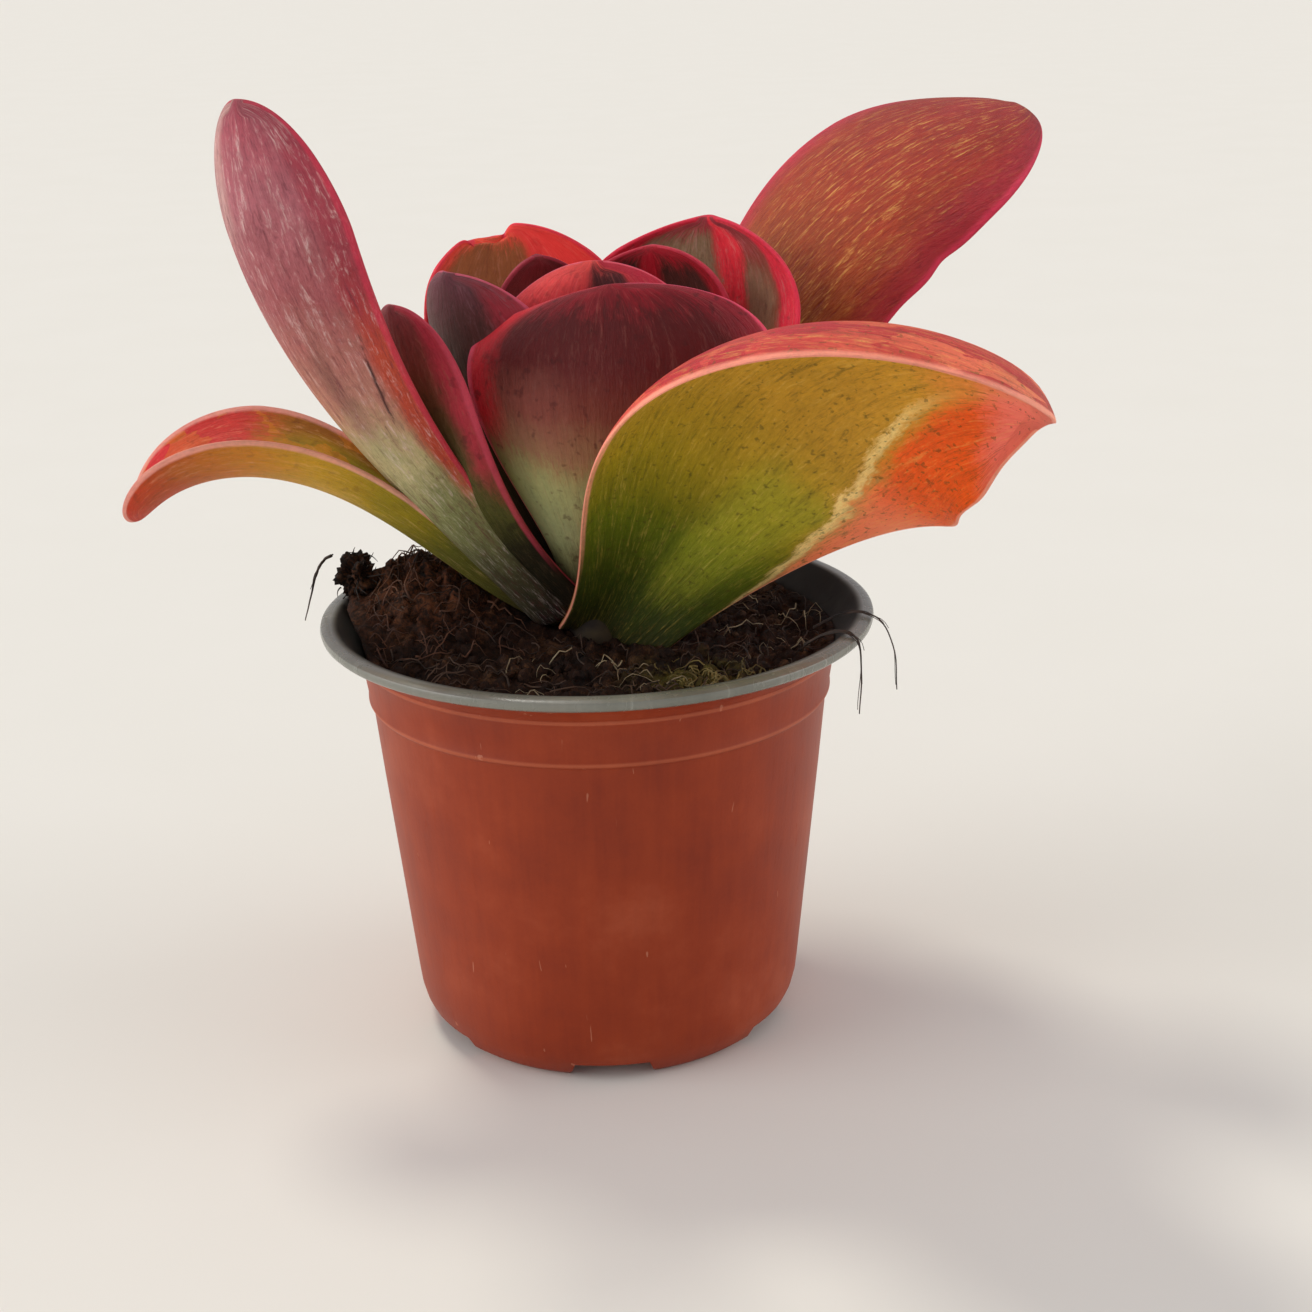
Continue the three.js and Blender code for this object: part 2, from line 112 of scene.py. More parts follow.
# %% The wire class
class Wire:
    """One output of a node tree, or the tree itself, that can be used in sums."""

    def __init__(self, tree, socket=None):
        self.tree = tree
        self.socket = socket

    def node(self, kind, sockets=None, output=0, **settings):
        """Adds a node: its settings first, then a value or a wire for each named socket."""
        made = self.tree.nodes.new("ShaderNode" + kind)
        stops = settings.pop("stops", None)
        for name, value in settings.items():
            setattr(made, name, value)
        if stops:
            elements = made.color_ramp.elements
            while len(elements) < len(stops):
                elements.new(0.5)
            for element, (place, colour) in zip(elements, stops):
                element.position = place
                element.color = colour
        for name, value in (sockets or {}).items():
            if isinstance(value, Wire):
                self.tree.links.new(value.socket, made.inputs[name])
            else:
                made.inputs[name].default_value = value
        return Wire(self.tree, made.outputs[output])

    def math(self, operation, *values):
        return self.node("Math", dict(enumerate(values)), operation=operation)

    def __add__(self, other):
        return self.math("ADD", self, other)

    def __sub__(self, other):
        return self.math("SUBTRACT", self, other)

    def __rsub__(self, other):
        return self.math("SUBTRACT", other, self)

    def __mul__(self, other):
        return self.math("MULTIPLY", self, other)

    def __abs__(self):
        return self.math("ABSOLUTE", self)

    __radd__ = __add__
    __rmul__ = __mul__

    def step(self, low, high):
        """0 below low and 1 above high, with a smooth rise between them."""
        span = {"Value": self, "From Min": low, "From Max": high}
        return self.node("MapRange", span, interpolation_type="SMOOTHSTEP")

    def ramp(self, *stops):
        """A colour for each value, from stops of a place and a colour."""
        return self.node("ValToRGB", {0: self}, stops=stops)

    def over(self, colour, mask):
        """The colour laid over this one where the mask is 1."""
        return self.node("Mix", {0: mask, 6: self, 7: colour}, output=2, data_type="RGBA")

    def dim(self, shade):
        """This colour made lighter or darker by a number."""
        return self.node("VectorMath", {0: self, "Scale": shade}, operation="SCALE")

    def parts(self):
        """The three numbers of this vector."""
        split = self.node("SeparateXYZ", {0: self}).socket.node
        return [Wire(self.tree, number) for number in split.outputs]

    def away_from(self, place):
        """How far these coordinates are from a place."""
        return self.node("VectorMath", {0: self, 1: place}, output="Value", operation="DISTANCE")

    def noise(self, scale, detail, roughness=0.5, distortion=0.0, seed=None):
        """Noise at these coordinates. With a seed, each piece has its own."""
        sockets = {"Vector": self, "Scale": scale, "Detail": detail, "Roughness": roughness,
                   "Distortion": distortion}
        if seed is None:
            return self.node("TexNoise", sockets)
        return self.node("TexNoise", {**sockets, "W": seed}, noise_dimensions="4D")


print("the class adds nodes for", [name for name in vars(Wire) if not name.startswith("_")])

# %% [markdown]
# Designers write a colour as a hex value, and Blender wants linear light, so one function turns the
# first into the second. Every finish here starts from the same Principled shader.

# %% Colours and new finishes
def shade(hex_value, alpha=1.0):
    """The linear colour of a hex value such as 9c4427."""
    parts = [int(hex_value[i : i + 2], 16) / 255 for i in (0, 2, 4)]
    return (*[c / 12.92 if c <= 0.04045 else ((c + 0.055) / 1.055) ** 2.4 for c in parts], alpha)


def new_finish(name):
    """A material, the wire of its tree, its object coordinates and its Principled shader."""
    material = bpy.data.materials.new(name)
    material.use_nodes = True
    tree = material.node_tree
    start = Wire(tree)
    return material, start, start.node("TexCoord", output="Object"), tree.nodes["Principled BSDF"]


def feed(skin, name, wire):
    wire.tree.links.new(wire.socket, skin.inputs[name])


print("clay is", [round(c, 3) for c in shade("9c4427")])

# %% [markdown]
# ## Floor
# A large pale plane, with the slightest mottling of a painted studio floor.

# %% Floor
def deselect():
    if bpy.context.object and bpy.context.object.mode != "OBJECT":
        bpy.ops.object.mode_set(mode="OBJECT")
    bpy.ops.object.select_all(action="DESELECT")


deselect()
bpy.ops.mesh.primitive_plane_add(size=60)
floor = bpy.context.object
floor.name = "floor"
paint, start, here, skin = new_finish("floor_paint")
two_whites = {0: here.noise(14, 3), 6: shade("e6e3da"), 7: shade("e9e6de")}
feed(skin, "Base Color", start.node("Mix", two_whites, output=2, data_type="RGBA"))
skin.inputs["Roughness"].default_value = 0.9
skin.inputs["Specular IOR Level"].default_value = 0.1
floor.data.materials.append(paint)
print("floor laid")

# %% [markdown]
# ## Nursery pot
# The pot is thermoformed from a sheet with two layers: terracotta outside, grey inside. Its edge
# rolls outwards into a rim, so the rim shows the grey. A step under the rim stiffens the collar, and
# the foot is a ring cut by six notches that let water out. Spin would turn the whole profile at
# once, but a ring of edges that is extruded and resized level by level grows the way the sheet is
# drawn, and each level stays easy to change. The notches and drain holes are cut by booleans.

# %% Levels that the pieces share, in millimetres
stem_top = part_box("main_stem")[1].z / MM
rim_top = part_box("nursery_pot")[1].z / MM
rim_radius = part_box("nursery_pot")[1].x / MM
soil_level = rim_top - 6
print("rim", round(rim_top, 1), "soil", round(soil_level, 1))

# %% Profile of the pot: radius and height of each ring, in millimetres
foot = [(32.8, 4.4), (34.6, 0.25), (35.0, 0), (38.0, 0), (38.5, 0.3)]
wall = [(40.6, 2.0), (42.4, 5.8), (43.1, 8.6), (43.5, 12), (44.6, 23), (46.4, 41), (48.2, 59)]
step_out = [(49.75, 75.4), (49.9, 75.9), (50.3, 76.2), (50.65, 76.7), (50.65, 77.1), (50.45, 77.6)]
collar = [(51.1, 82), (51.6, 85.5), (51.9, 85.9), (52.1, 86.3), (52.0, 86.8)]
lip = [(52.5, 87.4), (54.4, 89.3), (56.6, 90.7), (58.4, 91.3)]
roll = [
    (rim_radius - 0.7, 91.5), (rim_radius - 0.2, 92.0), (rim_radius, 92.8),
    (rim_radius - 0.2, 93.5), (rim_radius - 0.8, 93.9), (rim_radius - 1.6, rim_top),
]
lip_inside = [(57.0, rim_top), (56.3, 93.8), (55.7, 93.1), (55.0, 92.2), (53.0, 89.2), (51.1, 86.5)]
wall_inside = [(49.4, 79), (49.0, 76.8), (47.2, 59), (43.6, 23), (42.3, 10), (41.4, 7.6)]
floor_inside = [(39.6, 6.2), (36.3, 5.4)]
pot_rings = foot + wall + step_out + collar + lip + roll + lip_inside + wall_inside + floor_inside
print(len(pot_rings), "rings, the widest", round(max(pot_rings)[0], 1))


# %% A piece grown ring by ring
def extrude_ring(radius, height, from_radius, from_height):
    rise = (height - from_height) * MM
    bpy.ops.mesh.extrude_edges_move(TRANSFORM_OT_translate={"value": (0, 0, rise)})
    grow = radius / from_radius
    bpy.ops.transform.resize(value=(grow, grow, 1), center_override=(0, 0, height * MM))


def close_ends():
    """Fills the ring that is selected and the one where the piece began."""
    bpy.ops.mesh.edge_face_add()
    bpy.ops.mesh.select_all(action="DESELECT")
    bpy.ops.mesh.select_mode(type="VERT")
    bpy.ops.mesh.select_non_manifold()
    bpy.ops.mesh.edge_face_add()
    bpy.ops.mesh.select_all(action="SELECT")
    bpy.ops.mesh.normals_make_consistent(inside=False)
    bpy.ops.object.mode_set(mode="OBJECT")


def ring_piece(name, rings, corners):
    deselect()
    radius, height = rings[0]
    bpy.ops.mesh.primitive_circle_add(
        vertices=corners, radius=radius * MM, fill_type="NOTHING", location=(0, 0, height * MM)
    )
    piece = bpy.context.object
    piece.name = piece.data.name = name
    bpy.ops.object.transform_apply(location=True)
    bpy.ops.object.mode_set(mode="EDIT")
    bpy.ops.mesh.select_all(action="SELECT")
    for before, ring in zip(rings, rings[1:]):
        extrude_ring(*ring, *before)
    close_ends()
    return piece


pot = ring_piece("nursery_pot_fine", pot_rings, 144)
print("pot", [round(d / MM, 1) for d in pot.dimensions], len(pot.data.polygons), "faces")

# %% [markdown]
# Each notch is a block, narrower at the top, that takes a bite out of the foot ring. A round hole
# drains the floor beside it. Both are placed by an angle, so one loop cuts all six.

# %% Notches and drain holes
NOTCHES = 6
notch_block = Vector((17.4, 20, 6.2)) * MM
notch_out, notch_up, notch_narrows = 36.5 * MM, 1.1 * MM, 0.8
hole_out, hole_up, hole_radius, hole_deep = 26 * MM, 5 * MM, 4 * MM, 4 * MM


def cut(piece, tool):
    """Takes the tool's shape out of the piece, and removes the tool."""
    deselect()
    bpy.context.view_layer.objects.active = piece
    piece.select_set(True)
    knife = piece.modifiers.new("cut", "BOOLEAN")
    knife.operation = "DIFFERENCE"
    knife.object = tool
    knife.solver = "EXACT"
    bpy.ops.object.modifier_apply(modifier="cut")
    bpy.data.objects.remove(tool)


def notch_tool(turn):
    deselect()
    bpy.ops.mesh.primitive_cube_add(size=1, location=(0, 0, 0))
    block = bpy.context.object
    bpy.ops.object.mode_set(mode="EDIT")
    bpy.ops.mesh.select_all(action="SELECT")
    bpy.ops.transform.resize(value=notch_block)
    bpy.ops.transform.translate(value=(notch_out, 0, notch_up))
    bpy.ops.mesh.select_all(action="DESELECT")
    bpy.ops.object.mode_set(mode="OBJECT")
    for vertex in block.data.vertices:
        vertex.select = vertex.co.z > notch_up
    bpy.ops.object.mode_set(mode="EDIT")
    bpy.ops.transform.resize(value=(1, notch_narrows, 1))
    bpy.ops.object.mode_set(mode="OBJECT")
    block.rotation_euler.z = turn
    bpy.context.view_layer.update()
    return block


for i in range(NOTCHES):
    turn = math.radians(30 + i * 360 / NOTCHES)
    cut(pot, notch_tool(turn))
    deselect()
    place = (hole_out * math.cos(turn), hole_out * math.sin(turn), hole_up)
    bpy.ops.mesh.primitive_cylinder_add(
        vertices=32, radius=hole_radius, depth=hole_deep, location=place
    )
    cut(pot, bpy.context.object)
deselect()
bpy.context.view_layer.objects.active = pot
pot.select_set(True)
bpy.ops.object.shade_smooth_by_angle(angle=math.radians(38))
print("pot with notches:", len(pot.data.polygons), "faces")

# %% [markdown]
# The terracotta layer is satin plastic: faint upright flow marks from the drawing, a bloom of dust,
# a few hairline scuffs, and a pale line on the two edges that stand out, a painted highlight with
# some rub from handling. The grey layer is smoother and streaked round the rim, and inside the rim it
# is painted near black down to the soil: painted shade in the pot's hollow, with a film of soil. Each
# face gets its layer by its place: the whole rolled rim and everything that looks to the axis are
# grey.

# %% Pot finishes
step_edge = 0.0760, 0.0765, 0.0769, 0.0774  # heights, in metres
lip_edge = 0.0857, 0.0861, 0.0865, 0.0869
# inside this radius the grey layer is painted near black: painted shade in the pot's hollow, with a
# film of soil
hollow_shade_ends = 0.0560, 0.0580  # radii, in metres


def between(value, rise_from, rise_to, fall_from, fall_to):
    return value.step(rise_from, rise_to) * (1 - value.step(fall_from, fall_to))


def edge_highlight_and_wear(colour, cloud, z):
    """Painted highlight, with rub from handling, on the two edges at the step and under the lip."""
    highlight_and_rub = between(z, *step_edge) + between(z, *lip_edge)
    return colour.over(shade("cf7450"), highlight_and_rub * (0.1 + 0.45 * cloud))


def stained_and_shaded(colour, cloud, flow, hollow_shade_and_film):
    colour = colour.over(shade("5a4436"), cloud.step(0.5, 0.75) * 0.35)
    colour = colour.over(shade("c2c6bc"), flow.step(0.56, 0.72) * 0.35)
    # near black where the mask is 1: painted shade in the pot's hollow, with a film of soil
    return colour.over(shade("1c130d"), hollow_shade_and_film)


def plastic(name, base, warm, dusty, rough, inside):
    material, start, here, skin = new_finish(name)
    x, y, z = here.parts()
    round_it = start.math("ARCTAN2", y, x)
    flow = start.node("CombineXYZ", {0: round_it * 9, 1: z * 14}).noise(2.2, 4, 0.6)
    scuff = start.node("CombineXYZ", {0: x * 3, 1: y * 3, 2: z * 0.6}).noise(190, 1, distortion=1)
    cloud = here.noise(38, 5, 0.6)
    grain = here.noise(1500, 2)
    colour = (cloud * 0.75 + flow * 0.25).ramp((0.32, shade(base)), (0.66, shade(warm)))
    colour = colour.over(shade(dusty), cloud.step(0.5, 0.85) * 0.10)
    colour = colour.over(shade(dusty), scuff.step(0.755, 0.78) * 0.3)
    if inside:
        away = start.math("SQRT", x * x + y * y)
        hollow_shade_and_film = (1 - away.step(*hollow_shade_ends)) * (0.8 + 0.4 * cloud)
        colour = stained_and_shaded(colour, cloud, flow, hollow_shade_and_film)
        rough = rough + 0.6 * hollow_shade_and_film
    else:
        # a painted highlight, with some rub, along the step and under the lip
        colour = edge_highlight_and_wear(colour, cloud, z)
    feed(skin, "Base Color", colour.dim(0.94 + 0.12 * grain))
    feed(skin, "Roughness", rough + 0.14 * cloud + 0.08 * scuff.step(0.6, 0.8))
    height = flow * 0.25 + grain * 0.12
    feed(skin, "Normal", start.node("Bump", {"Height": height, "Distance": 0.00025, "Strength": 0.6}))
    skin.inputs["Specular IOR Level"].default_value = 0.6 if inside else 0.3
    return material


pot.data.materials.append(plastic("terracotta_layer", "7e2606", "9a370d", "d99a7c", 0.40, False))
pot.data.materials.append(plastic("grey_layer", "66685e", "85847a", "6a5a4c", 0.2, True))
print("finishes:", [m.name for m in pot.data.materials])

# %% A layer for each face
rim_from, wall_from, floor_from, floor_radius = 91.35 * MM, 6.5 * MM, 5.2 * MM, 45 * MM
for face in pot.data.polygons:
    middle, out = face.center, face.normal
    rolled = middle.z > rim_from
    inward = out.x * middle.x + out.y * middle.y < 0 and middle.z > wall_from
    flat = middle.z > floor_from and out.z > 0.9
    floor_top = flat and math.hypot(middle.x, middle.y) < floor_radius
    face.material_index = 1 if rolled or inward or floor_top else 0
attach(pot, "root")
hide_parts("nursery_pot")
print("grey faces:", sum(f.material_index for f in pot.data.polygons))

# %% [markdown]
# ## Potting soil
# Peat mix is a loose felt of dark crumbs and fibres. Its body is a disc of fine faces: a square grid
# is mapped on to a circle, which keeps the faces even, and layers of noise raise it. The heap at the
# left, where the root ball was set in too high, is part of the same surface. The sides follow the
# pot's wall down to the floor. Sculpting would give the same surface once, while a formula lets
# everything that lies on the soil ask for its height.

# %% Height of the soil
soil_radius = 51.6
heap = (-0.66 * soil_radius, 0.24 * soil_radius)
heap_height = 15.2
heap_spread = 0.3 * soil_radius


def soil_height(x, y):
    """Height of the soil above its level, in millimetres."""
    away = math.hypot(x - heap[0], y - heap[1]) / heap_spread
    edge = min(1.0, (soil_radius - math.hypot(x, y)) / 4)
    heaped = heap_height * math.exp(-away * away / 2)
    place = Vector((x, y, 0))
    lumps = noise.fractal(place * 0.11, 1.0, 2.1, 4) * 1.5
    crumbs = noise.turbulence(place * 0.42 + Vector((7, 3, 1)), 4, False) * 1.7 - 0.9
    ragged = noise.fractal(place * 0.3 + Vector((0, 9, 4)), 0.9, 2.0, 3) * 1.5 * heaped / heap_height
    return heaped + (lumps + crumbs + ragged) * max(0.15, edge)


print("the heap rises by", round(soil_height(*heap), 1))

# %% Body of the soil
soil_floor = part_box("potting_soil")[0].z
soil_sides = [(50.9, 3), (48.6, 8), (42, 68), (35.6, 3.4)]  # radius, and how far down from the last
deselect()
bpy.ops.mesh.primitive_grid_add(x_subdivisions=170, y_subdivisions=170, size=2)
soil = bpy.context.object
soil.name = soil.data.name = "potting_soil_fine"
for vertex in soil.data.vertices:
    a, b = vertex.co.x, vertex.co.y
    x = soil_radius * a * math.sqrt(1 - b * b / 2)
    y = soil_radius * b * math.sqrt(1 - a * a / 2)
    height = soil_height(x, y)
    ring = max(abs(a), abs(b))
    if ring > 0.999:
        height = min(height, 3.0)  # the border stays inside the pot
    else:
        # Where the heap is high, the soil has slumped out over the slope of the lip.
        slump = 1 + 0.075 * min(1.0, max(0.0, (height - 2.5) / 4)) * ring**6
        x, y = x * slump, y * slump
    vertex.co = Vector((x, y, soil_level + height)) * MM
bpy.ops.object.mode_set(mode="EDIT")
bpy.ops.mesh.select_all(action="SELECT")
bpy.ops.mesh.region_to_loop()
before = soil_radius
for radius, drop in soil_sides:
    bpy.ops.mesh.extrude_edges_move(TRANSFORM_OT_translate={"value": (0, 0, -drop * MM)})
    grow = radius / before
    bpy.ops.transform.resize(value=(grow, grow, 1), center_override=(0, 0, 0))
    before = radius
bpy.ops.transform.resize(value=(1, 1, 0), center_override=(0, 0, soil_floor))
bpy.ops.mesh.edge_face_add()
bpy.ops.mesh.select_all(action="SELECT")
bpy.ops.mesh.normals_make_consistent(inside=False)
bpy.ops.object.mode_set(mode="OBJECT")
bpy.ops.object.shade_smooth()
print("soil", [round(d / MM, 1) for d in soil.dimensions], len(soil.data.polygons), "faces")

# %% [markdown]
# Crumbs and fibres lie on it. A crumb is a small icosphere, modelled once and copied 900 times,
# each with its own size and turn. Particles would scatter them too, but a seeded random source puts
# them in the same places on each run.

# %% Crumbs
CRUMBS = 900
rng = np.random.default_rng(8)


def soil_point(radius, turn):
    x, y = radius * math.cos(turn), radius * math.sin(turn)
    return np.array((x, y, soil_level + soil_height(x, y)))


def new_piece(name, vertices, faces):
    mesh = bpy.data.meshes.new(name)
    mesh.from_pydata(vertices, [], faces)
    piece = bpy.data.objects.new(name, mesh)
    scene.collection.objects.link(piece)
    return piece


def scatter_crumbs(smallest, largest):
    deselect()
    bpy.ops.mesh.primitive_ico_sphere_add(subdivisions=2, radius=1)
    seed = bpy.context.object
    for vertex in seed.data.vertices:
        vertex.co *= 1 + 0.35 * noise.noise(vertex.co * 1.7 + Vector((3, 1, 2)))
    points = np.array([v.co for v in seed.data.vertices])
    faces = np.array([p.vertices for p in seed.data.polygons])
    bpy.data.objects.remove(seed)
    all_points, all_faces = [], []
    for i in range(CRUMBS):
        radius = soil_radius * 0.97 * math.sqrt(rng.random())
        place = soil_point(radius, rng.random() * 2 * math.pi)
        size = smallest + (largest - smallest) * rng.random() ** 3
        stretch = np.diag(size * rng.uniform(0.6, 1.3, 3))
        spin = np.array(Euler(rng.uniform(0, 6.28, 3)).to_matrix())
        all_points.append(points @ stretch @ spin.T + place)
        all_faces.append(faces + i * len(points))
    corners = (np.vstack(all_points) * MM).tolist()
    return new_piece("soil_crumbs", corners, np.vstack(all_faces).tolist())


crumbs = scatter_crumbs(0.35, 1.9)
print(len(crumbs.data.polygons), "crumb faces")

# %% [markdown]
# A fibre is a thin bent tube that tapers to its end. Curves with a bevel would do for a few, but
# hundreds of them are lighter as one mesh, with five corners round each tube.

# %% Strands
def strand(points, thick, thin, sides=5):
    """Vertices and faces of a bent tube through the points, in millimetres, closed at both ends."""
    points = [Vector(p) for p in points]
    count = len(points)
    vertices, faces = [], []
    side_way = Vector((0.3, 0.5, 0.8)).normalized()
    for i, point in enumerate(points):
        ahead = points[min(i + 1, count - 1)] - points[max(i - 1, 0)]
        ahead.normalize()
        first = ahead.cross(side_way).normalized()
        second = ahead.cross(first)
        radius = thick + (thin - thick) * i / (count - 1)
        for j in range(sides):
            turn = 2 * math.pi * j / sides
            vertices.append(point + (first * math.cos(turn) + second * math.sin(turn)) * radius)
    for i in range(count - 1):
        for j in range(sides):
            a, b = i * sides + j, i * sides + (j + 1) % sides
            faces.append((a, b, b + sides, a + sides))
    faces.append(tuple(reversed(range(sides))))
    faces.append(tuple(range((count - 1) * sides, count * sides)))
    return vertices, faces


def join_strands(name, strands):
    """One piece of many strands, each given as its points, first radius and last radius."""
    vertices, faces = [], []
    for points, thick, thin in strands:
        new_vertices, new_faces = strand(points, thick, thin)
        faces += [tuple(i + len(vertices) for i in face) for face in new_faces]
        vertices += [tuple(v * MM) for v in new_vertices]
    piece = new_piece(name, vertices, faces)
    deselect()
    piece.select_set(True)
    bpy.context.view_layer.objects.active = piece
    bpy.ops.object.mode_set(mode="EDIT")
    bpy.ops.mesh.select_all(action="SELECT")
    bpy.ops.mesh.normals_make_consistent(inside=False)
    bpy.ops.object.mode_set(mode="OBJECT")
    bpy.ops.object.shade_smooth()
    return piece


short_strand = strand([(0, 0, 0), (1, 0, 0), (2, 1, 0)], 1, 1)
print("a strand of three points has", len(short_strand[1]), "faces")

# %% [markdown]
# Four kinds of fibre lie on the soil: dark ones everywhere, pale new roots in front and to the
# right, coir on the heap, and threads of moss in one spot. They differ in where they lie, how long
# they are and how much they arch, so one function draws them all.

# %% Fibres on the soil
WHOLE_TURN = 6.283


def fibre(from_radius, to_share, length, lift, turn_range):
    """A fibre that lies on the soil and bends about as it goes."""
    radius = from_radius + (soil_radius * to_share - from_radius) * math.sqrt(rng.random())
    turn = rng.uniform(*turn_range)
    x, y = radius * math.cos(turn), radius * math.sin(turn)
    heading = rng.random() * WHOLE_TURN
    bend = rng.normal() * 0.25
    span = rng.uniform(*length)
    arch = rng.random() * lift * 3
    points = []
    for i in range(9):
        if math.hypot(x, y) < soil_radius - 0.8:
            height = soil_level + soil_height(x, y) + 0.25 + arch * math.sin(math.pi * i / 8)
            points.append((x, y, height))
        x += math.cos(heading) * span / 8
        y += math.sin(heading) * span / 8
        heading += bend + rng.normal() * 0.18
    return points


def fibres(count, thick, thin, *where):
    """That many fibres; one that leaves the soil too soon is drawn again."""
    strands = []
    while len(strands) < count:
        points = fibre(*where)
        if len(points) > 4:
            strands.append((points, rng.uniform(*thick), thin))
    return strands


dark_strands = fibres(170, (0.10, 0.26), 0.05, 8, 0.96, (5, 14), 0.5, (0, WHOLE_TURN))
pale_strands = fibres(34, (0.08, 0.2), 0.05, 18, 0.95, (4, 13), 0.9, (-2.2, 0.6))
coir_strands = fibres(90, (0.10, 0.3), 0.05, 16, 0.99, (5, 15), 1.1, (2.2, 3.7))
moss_strands = fibres(60, (0.12, 0.3), 0.06, 24, 0.9, (3, 8), 0.5, (-1.15, -0.72))
dark_litter = join_strands("dark_fibres", dark_strands)
pale_litter = join_strands("pale_roots", pale_strands)
moss_tangle = join_strands("moss_tangle", moss_strands)
coir_litter = join_strands("heap_fibres", coir_strands)
print(len(dark_litter.data.polygons), "faces in the dark fibres")

# %% [markdown]
# Peat is almost black where it is wet and brown where it is dry, with a little moss where light
# reaches it. The same finish serves the body, the crumbs and the lump on the rim.

# %% Peat, fibre and root finishes
moss_spot, moss_reach = (0.018, -0.030, 0.088), (0.006, 0.017)  # in metres
dry_spot, dry_reach = (-0.036, 0.006, 0.100), (0.008, 0.026)


def earth(name, wet, dry, moss_amount=0.0):
    material, start, here, skin = new_finish(name)
    cloud = here.noise(110, 6, 0.7)
    felt = here.noise(520, 5, 0.75, 1.4)
    bits = start.node("TexVoronoi", {"Vector": here, "Scale": 700.0}, output="Distance")
    colour = (cloud * 0.6 + felt * 0.4).ramp(
        (0.36, shade(wet)), (0.52, shade(dry)), (0.68, shade("6e4c30"))
    )
    dried = (1 - here.away_from(dry_spot).step(*dry_reach)) * felt.step(0.40, 0.62)
    colour = colour.over(shade("6e3c20"), dried * 0.75)
    moss = (1 - here.away_from(moss_spot).step(*moss_reach)) * cloud.step(0.42, 0.58)
    colour = colour.over(shade("6a6228"), moss * moss_amount)
    feed(skin, "Base Color", colour.dim(0.35 + 0.9 * felt))
    feed(skin, "Roughness", 0.72 + 0.25 * felt)
    height = felt + bits * 0.5
    feed(skin, "Normal", start.node("Bump", {"Height": height, "Distance": 0.0007, "Strength": 1.0}))
    skin.inputs["Specular IOR Level"].default_value = 0.25
    return material


def thread(name, pale, dark):
    material, start, here, skin = new_finish(name)
    cloud = here.noise(160, 4)
    feed(skin, "Base Color", cloud.ramp((0.35, shade(dark)), (0.62, shade(pale))))
    feed(skin, "Roughness", 0.55 + 0.35 * cloud)
    return material


peat = earth("peat", "0a0503", "321a0c", 0.8)
for piece, finish in [
    (soil, peat),
    (crumbs, peat),
    (dark_litter, thread("peat_fibre", "5a4232", "1e120c")),
    (pale_litter, thread("fresh_root", "b8a684", "5e4a34")),
    (moss_tangle, thread("moss", "8c7a44", "463a1a")),
    (coir_litter, thread("coir_fibre", "684028", "2e180e")),
]:
    piece.data.materials.append(finish)
    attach(piece, "root")
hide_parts("potting_soil")
print("finishes so far:", len(bpy.data.materials))

# %% [markdown]
# ## Lump of peat and root hairs
# A lump hangs on the rim beside the heap, with a few fibres that trail over the edge. It starts as
# an icosphere, since that has no poles, and noise pushes it into lobes.

# %% Lump of peat
WISPS = 26
clump_low, clump_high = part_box("soil_clump")
clump_middle = (clump_low + clump_high) / 2 / MM
half = (clump_high - clump_low) / 2 / MM
deselect()
bpy.ops.mesh.primitive_ico_sphere_add(subdivisions=5, radius=1)
clump = bpy.context.object
clump.name = clump.data.name = "soil_clump_fine"
for vertex in clump.data.vertices:
    way = vertex.co.copy()
    lobes = 0.72 + 0.5 * noise.fractal(way * 1.5 + Vector((5, 2, 8)), 0.8, 2.0, 5)
    vertex.co = (clump_middle + way * half * lobes) * MM
bpy.ops.object.shade_smooth()
clump.data.materials.append(earth("dark_peat", "040202", "120a06"))
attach(clump, "root")
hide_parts("soil_clump")
wisps = []
for i in range(WISPS):
    way = Vector(rng.normal(size=3)).normalized()
    foot_of_wisp = clump_middle + way * half * 0.75
    hang = Vector((rng.normal() * 1.2, rng.normal() * 1.2, rng.uniform(-2.5, 1.0)))
    points = [foot_of_wisp + way * (u * 2.6) + hang * u * u for u in np.linspace(0, 1, 6)]
    wisps.append((points, 0.2, 0.06))
clump_wisps = join_strands("clump_wisps", wisps)
clump_wisps.data.materials.append(thread("dark_fibre", "2e2018", "0c0806"))
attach(clump_wisps, "root")
print("lump", [round(d / MM, 1) for d in clump.dimensions])

# %% [markdown]
# Roots dried where they grew over the rim at the right, and one hangs from the lump. Each is a
# bundle of hairs, thin as thread. Stops of azimuth, radius past the rim and height above it say
# where the bundle goes, so it follows the rim if the pot changes.

# %% Root hairs
def over_rim(stops, wiggle, steps=26):
    """A smooth path through stops of azimuth, radius past the rim and height above it."""
    stops = np.array(stops, float)
    at = np.linspace(0, len(stops) - 1, steps)
    azimuth, out, rise = (np.interp(at, range(len(stops)), stops[:, i]) for i in range(3))
    points = []
    for i in range(steps):
        turn = math.radians(azimuth[i])
        shake = Vector((noise.noise(Vector((i * 0.5, wiggle, k))) for k in range(3))) * 0.8
        flat = (rim_radius + out[i]) * math.cos(turn), (rim_radius + out[i]) * math.sin(turn)
        points.append(Vector((*flat, rim_top + rise[i])) + shake * min(1, i / 4))
    for _ in range(3):
        between_ends = [(a + 2 * b + c) / 4 for a, b, c in zip(points, points[1:], points[2:])]
        points = [points[0], *between_ends, points[-1]]
    return points


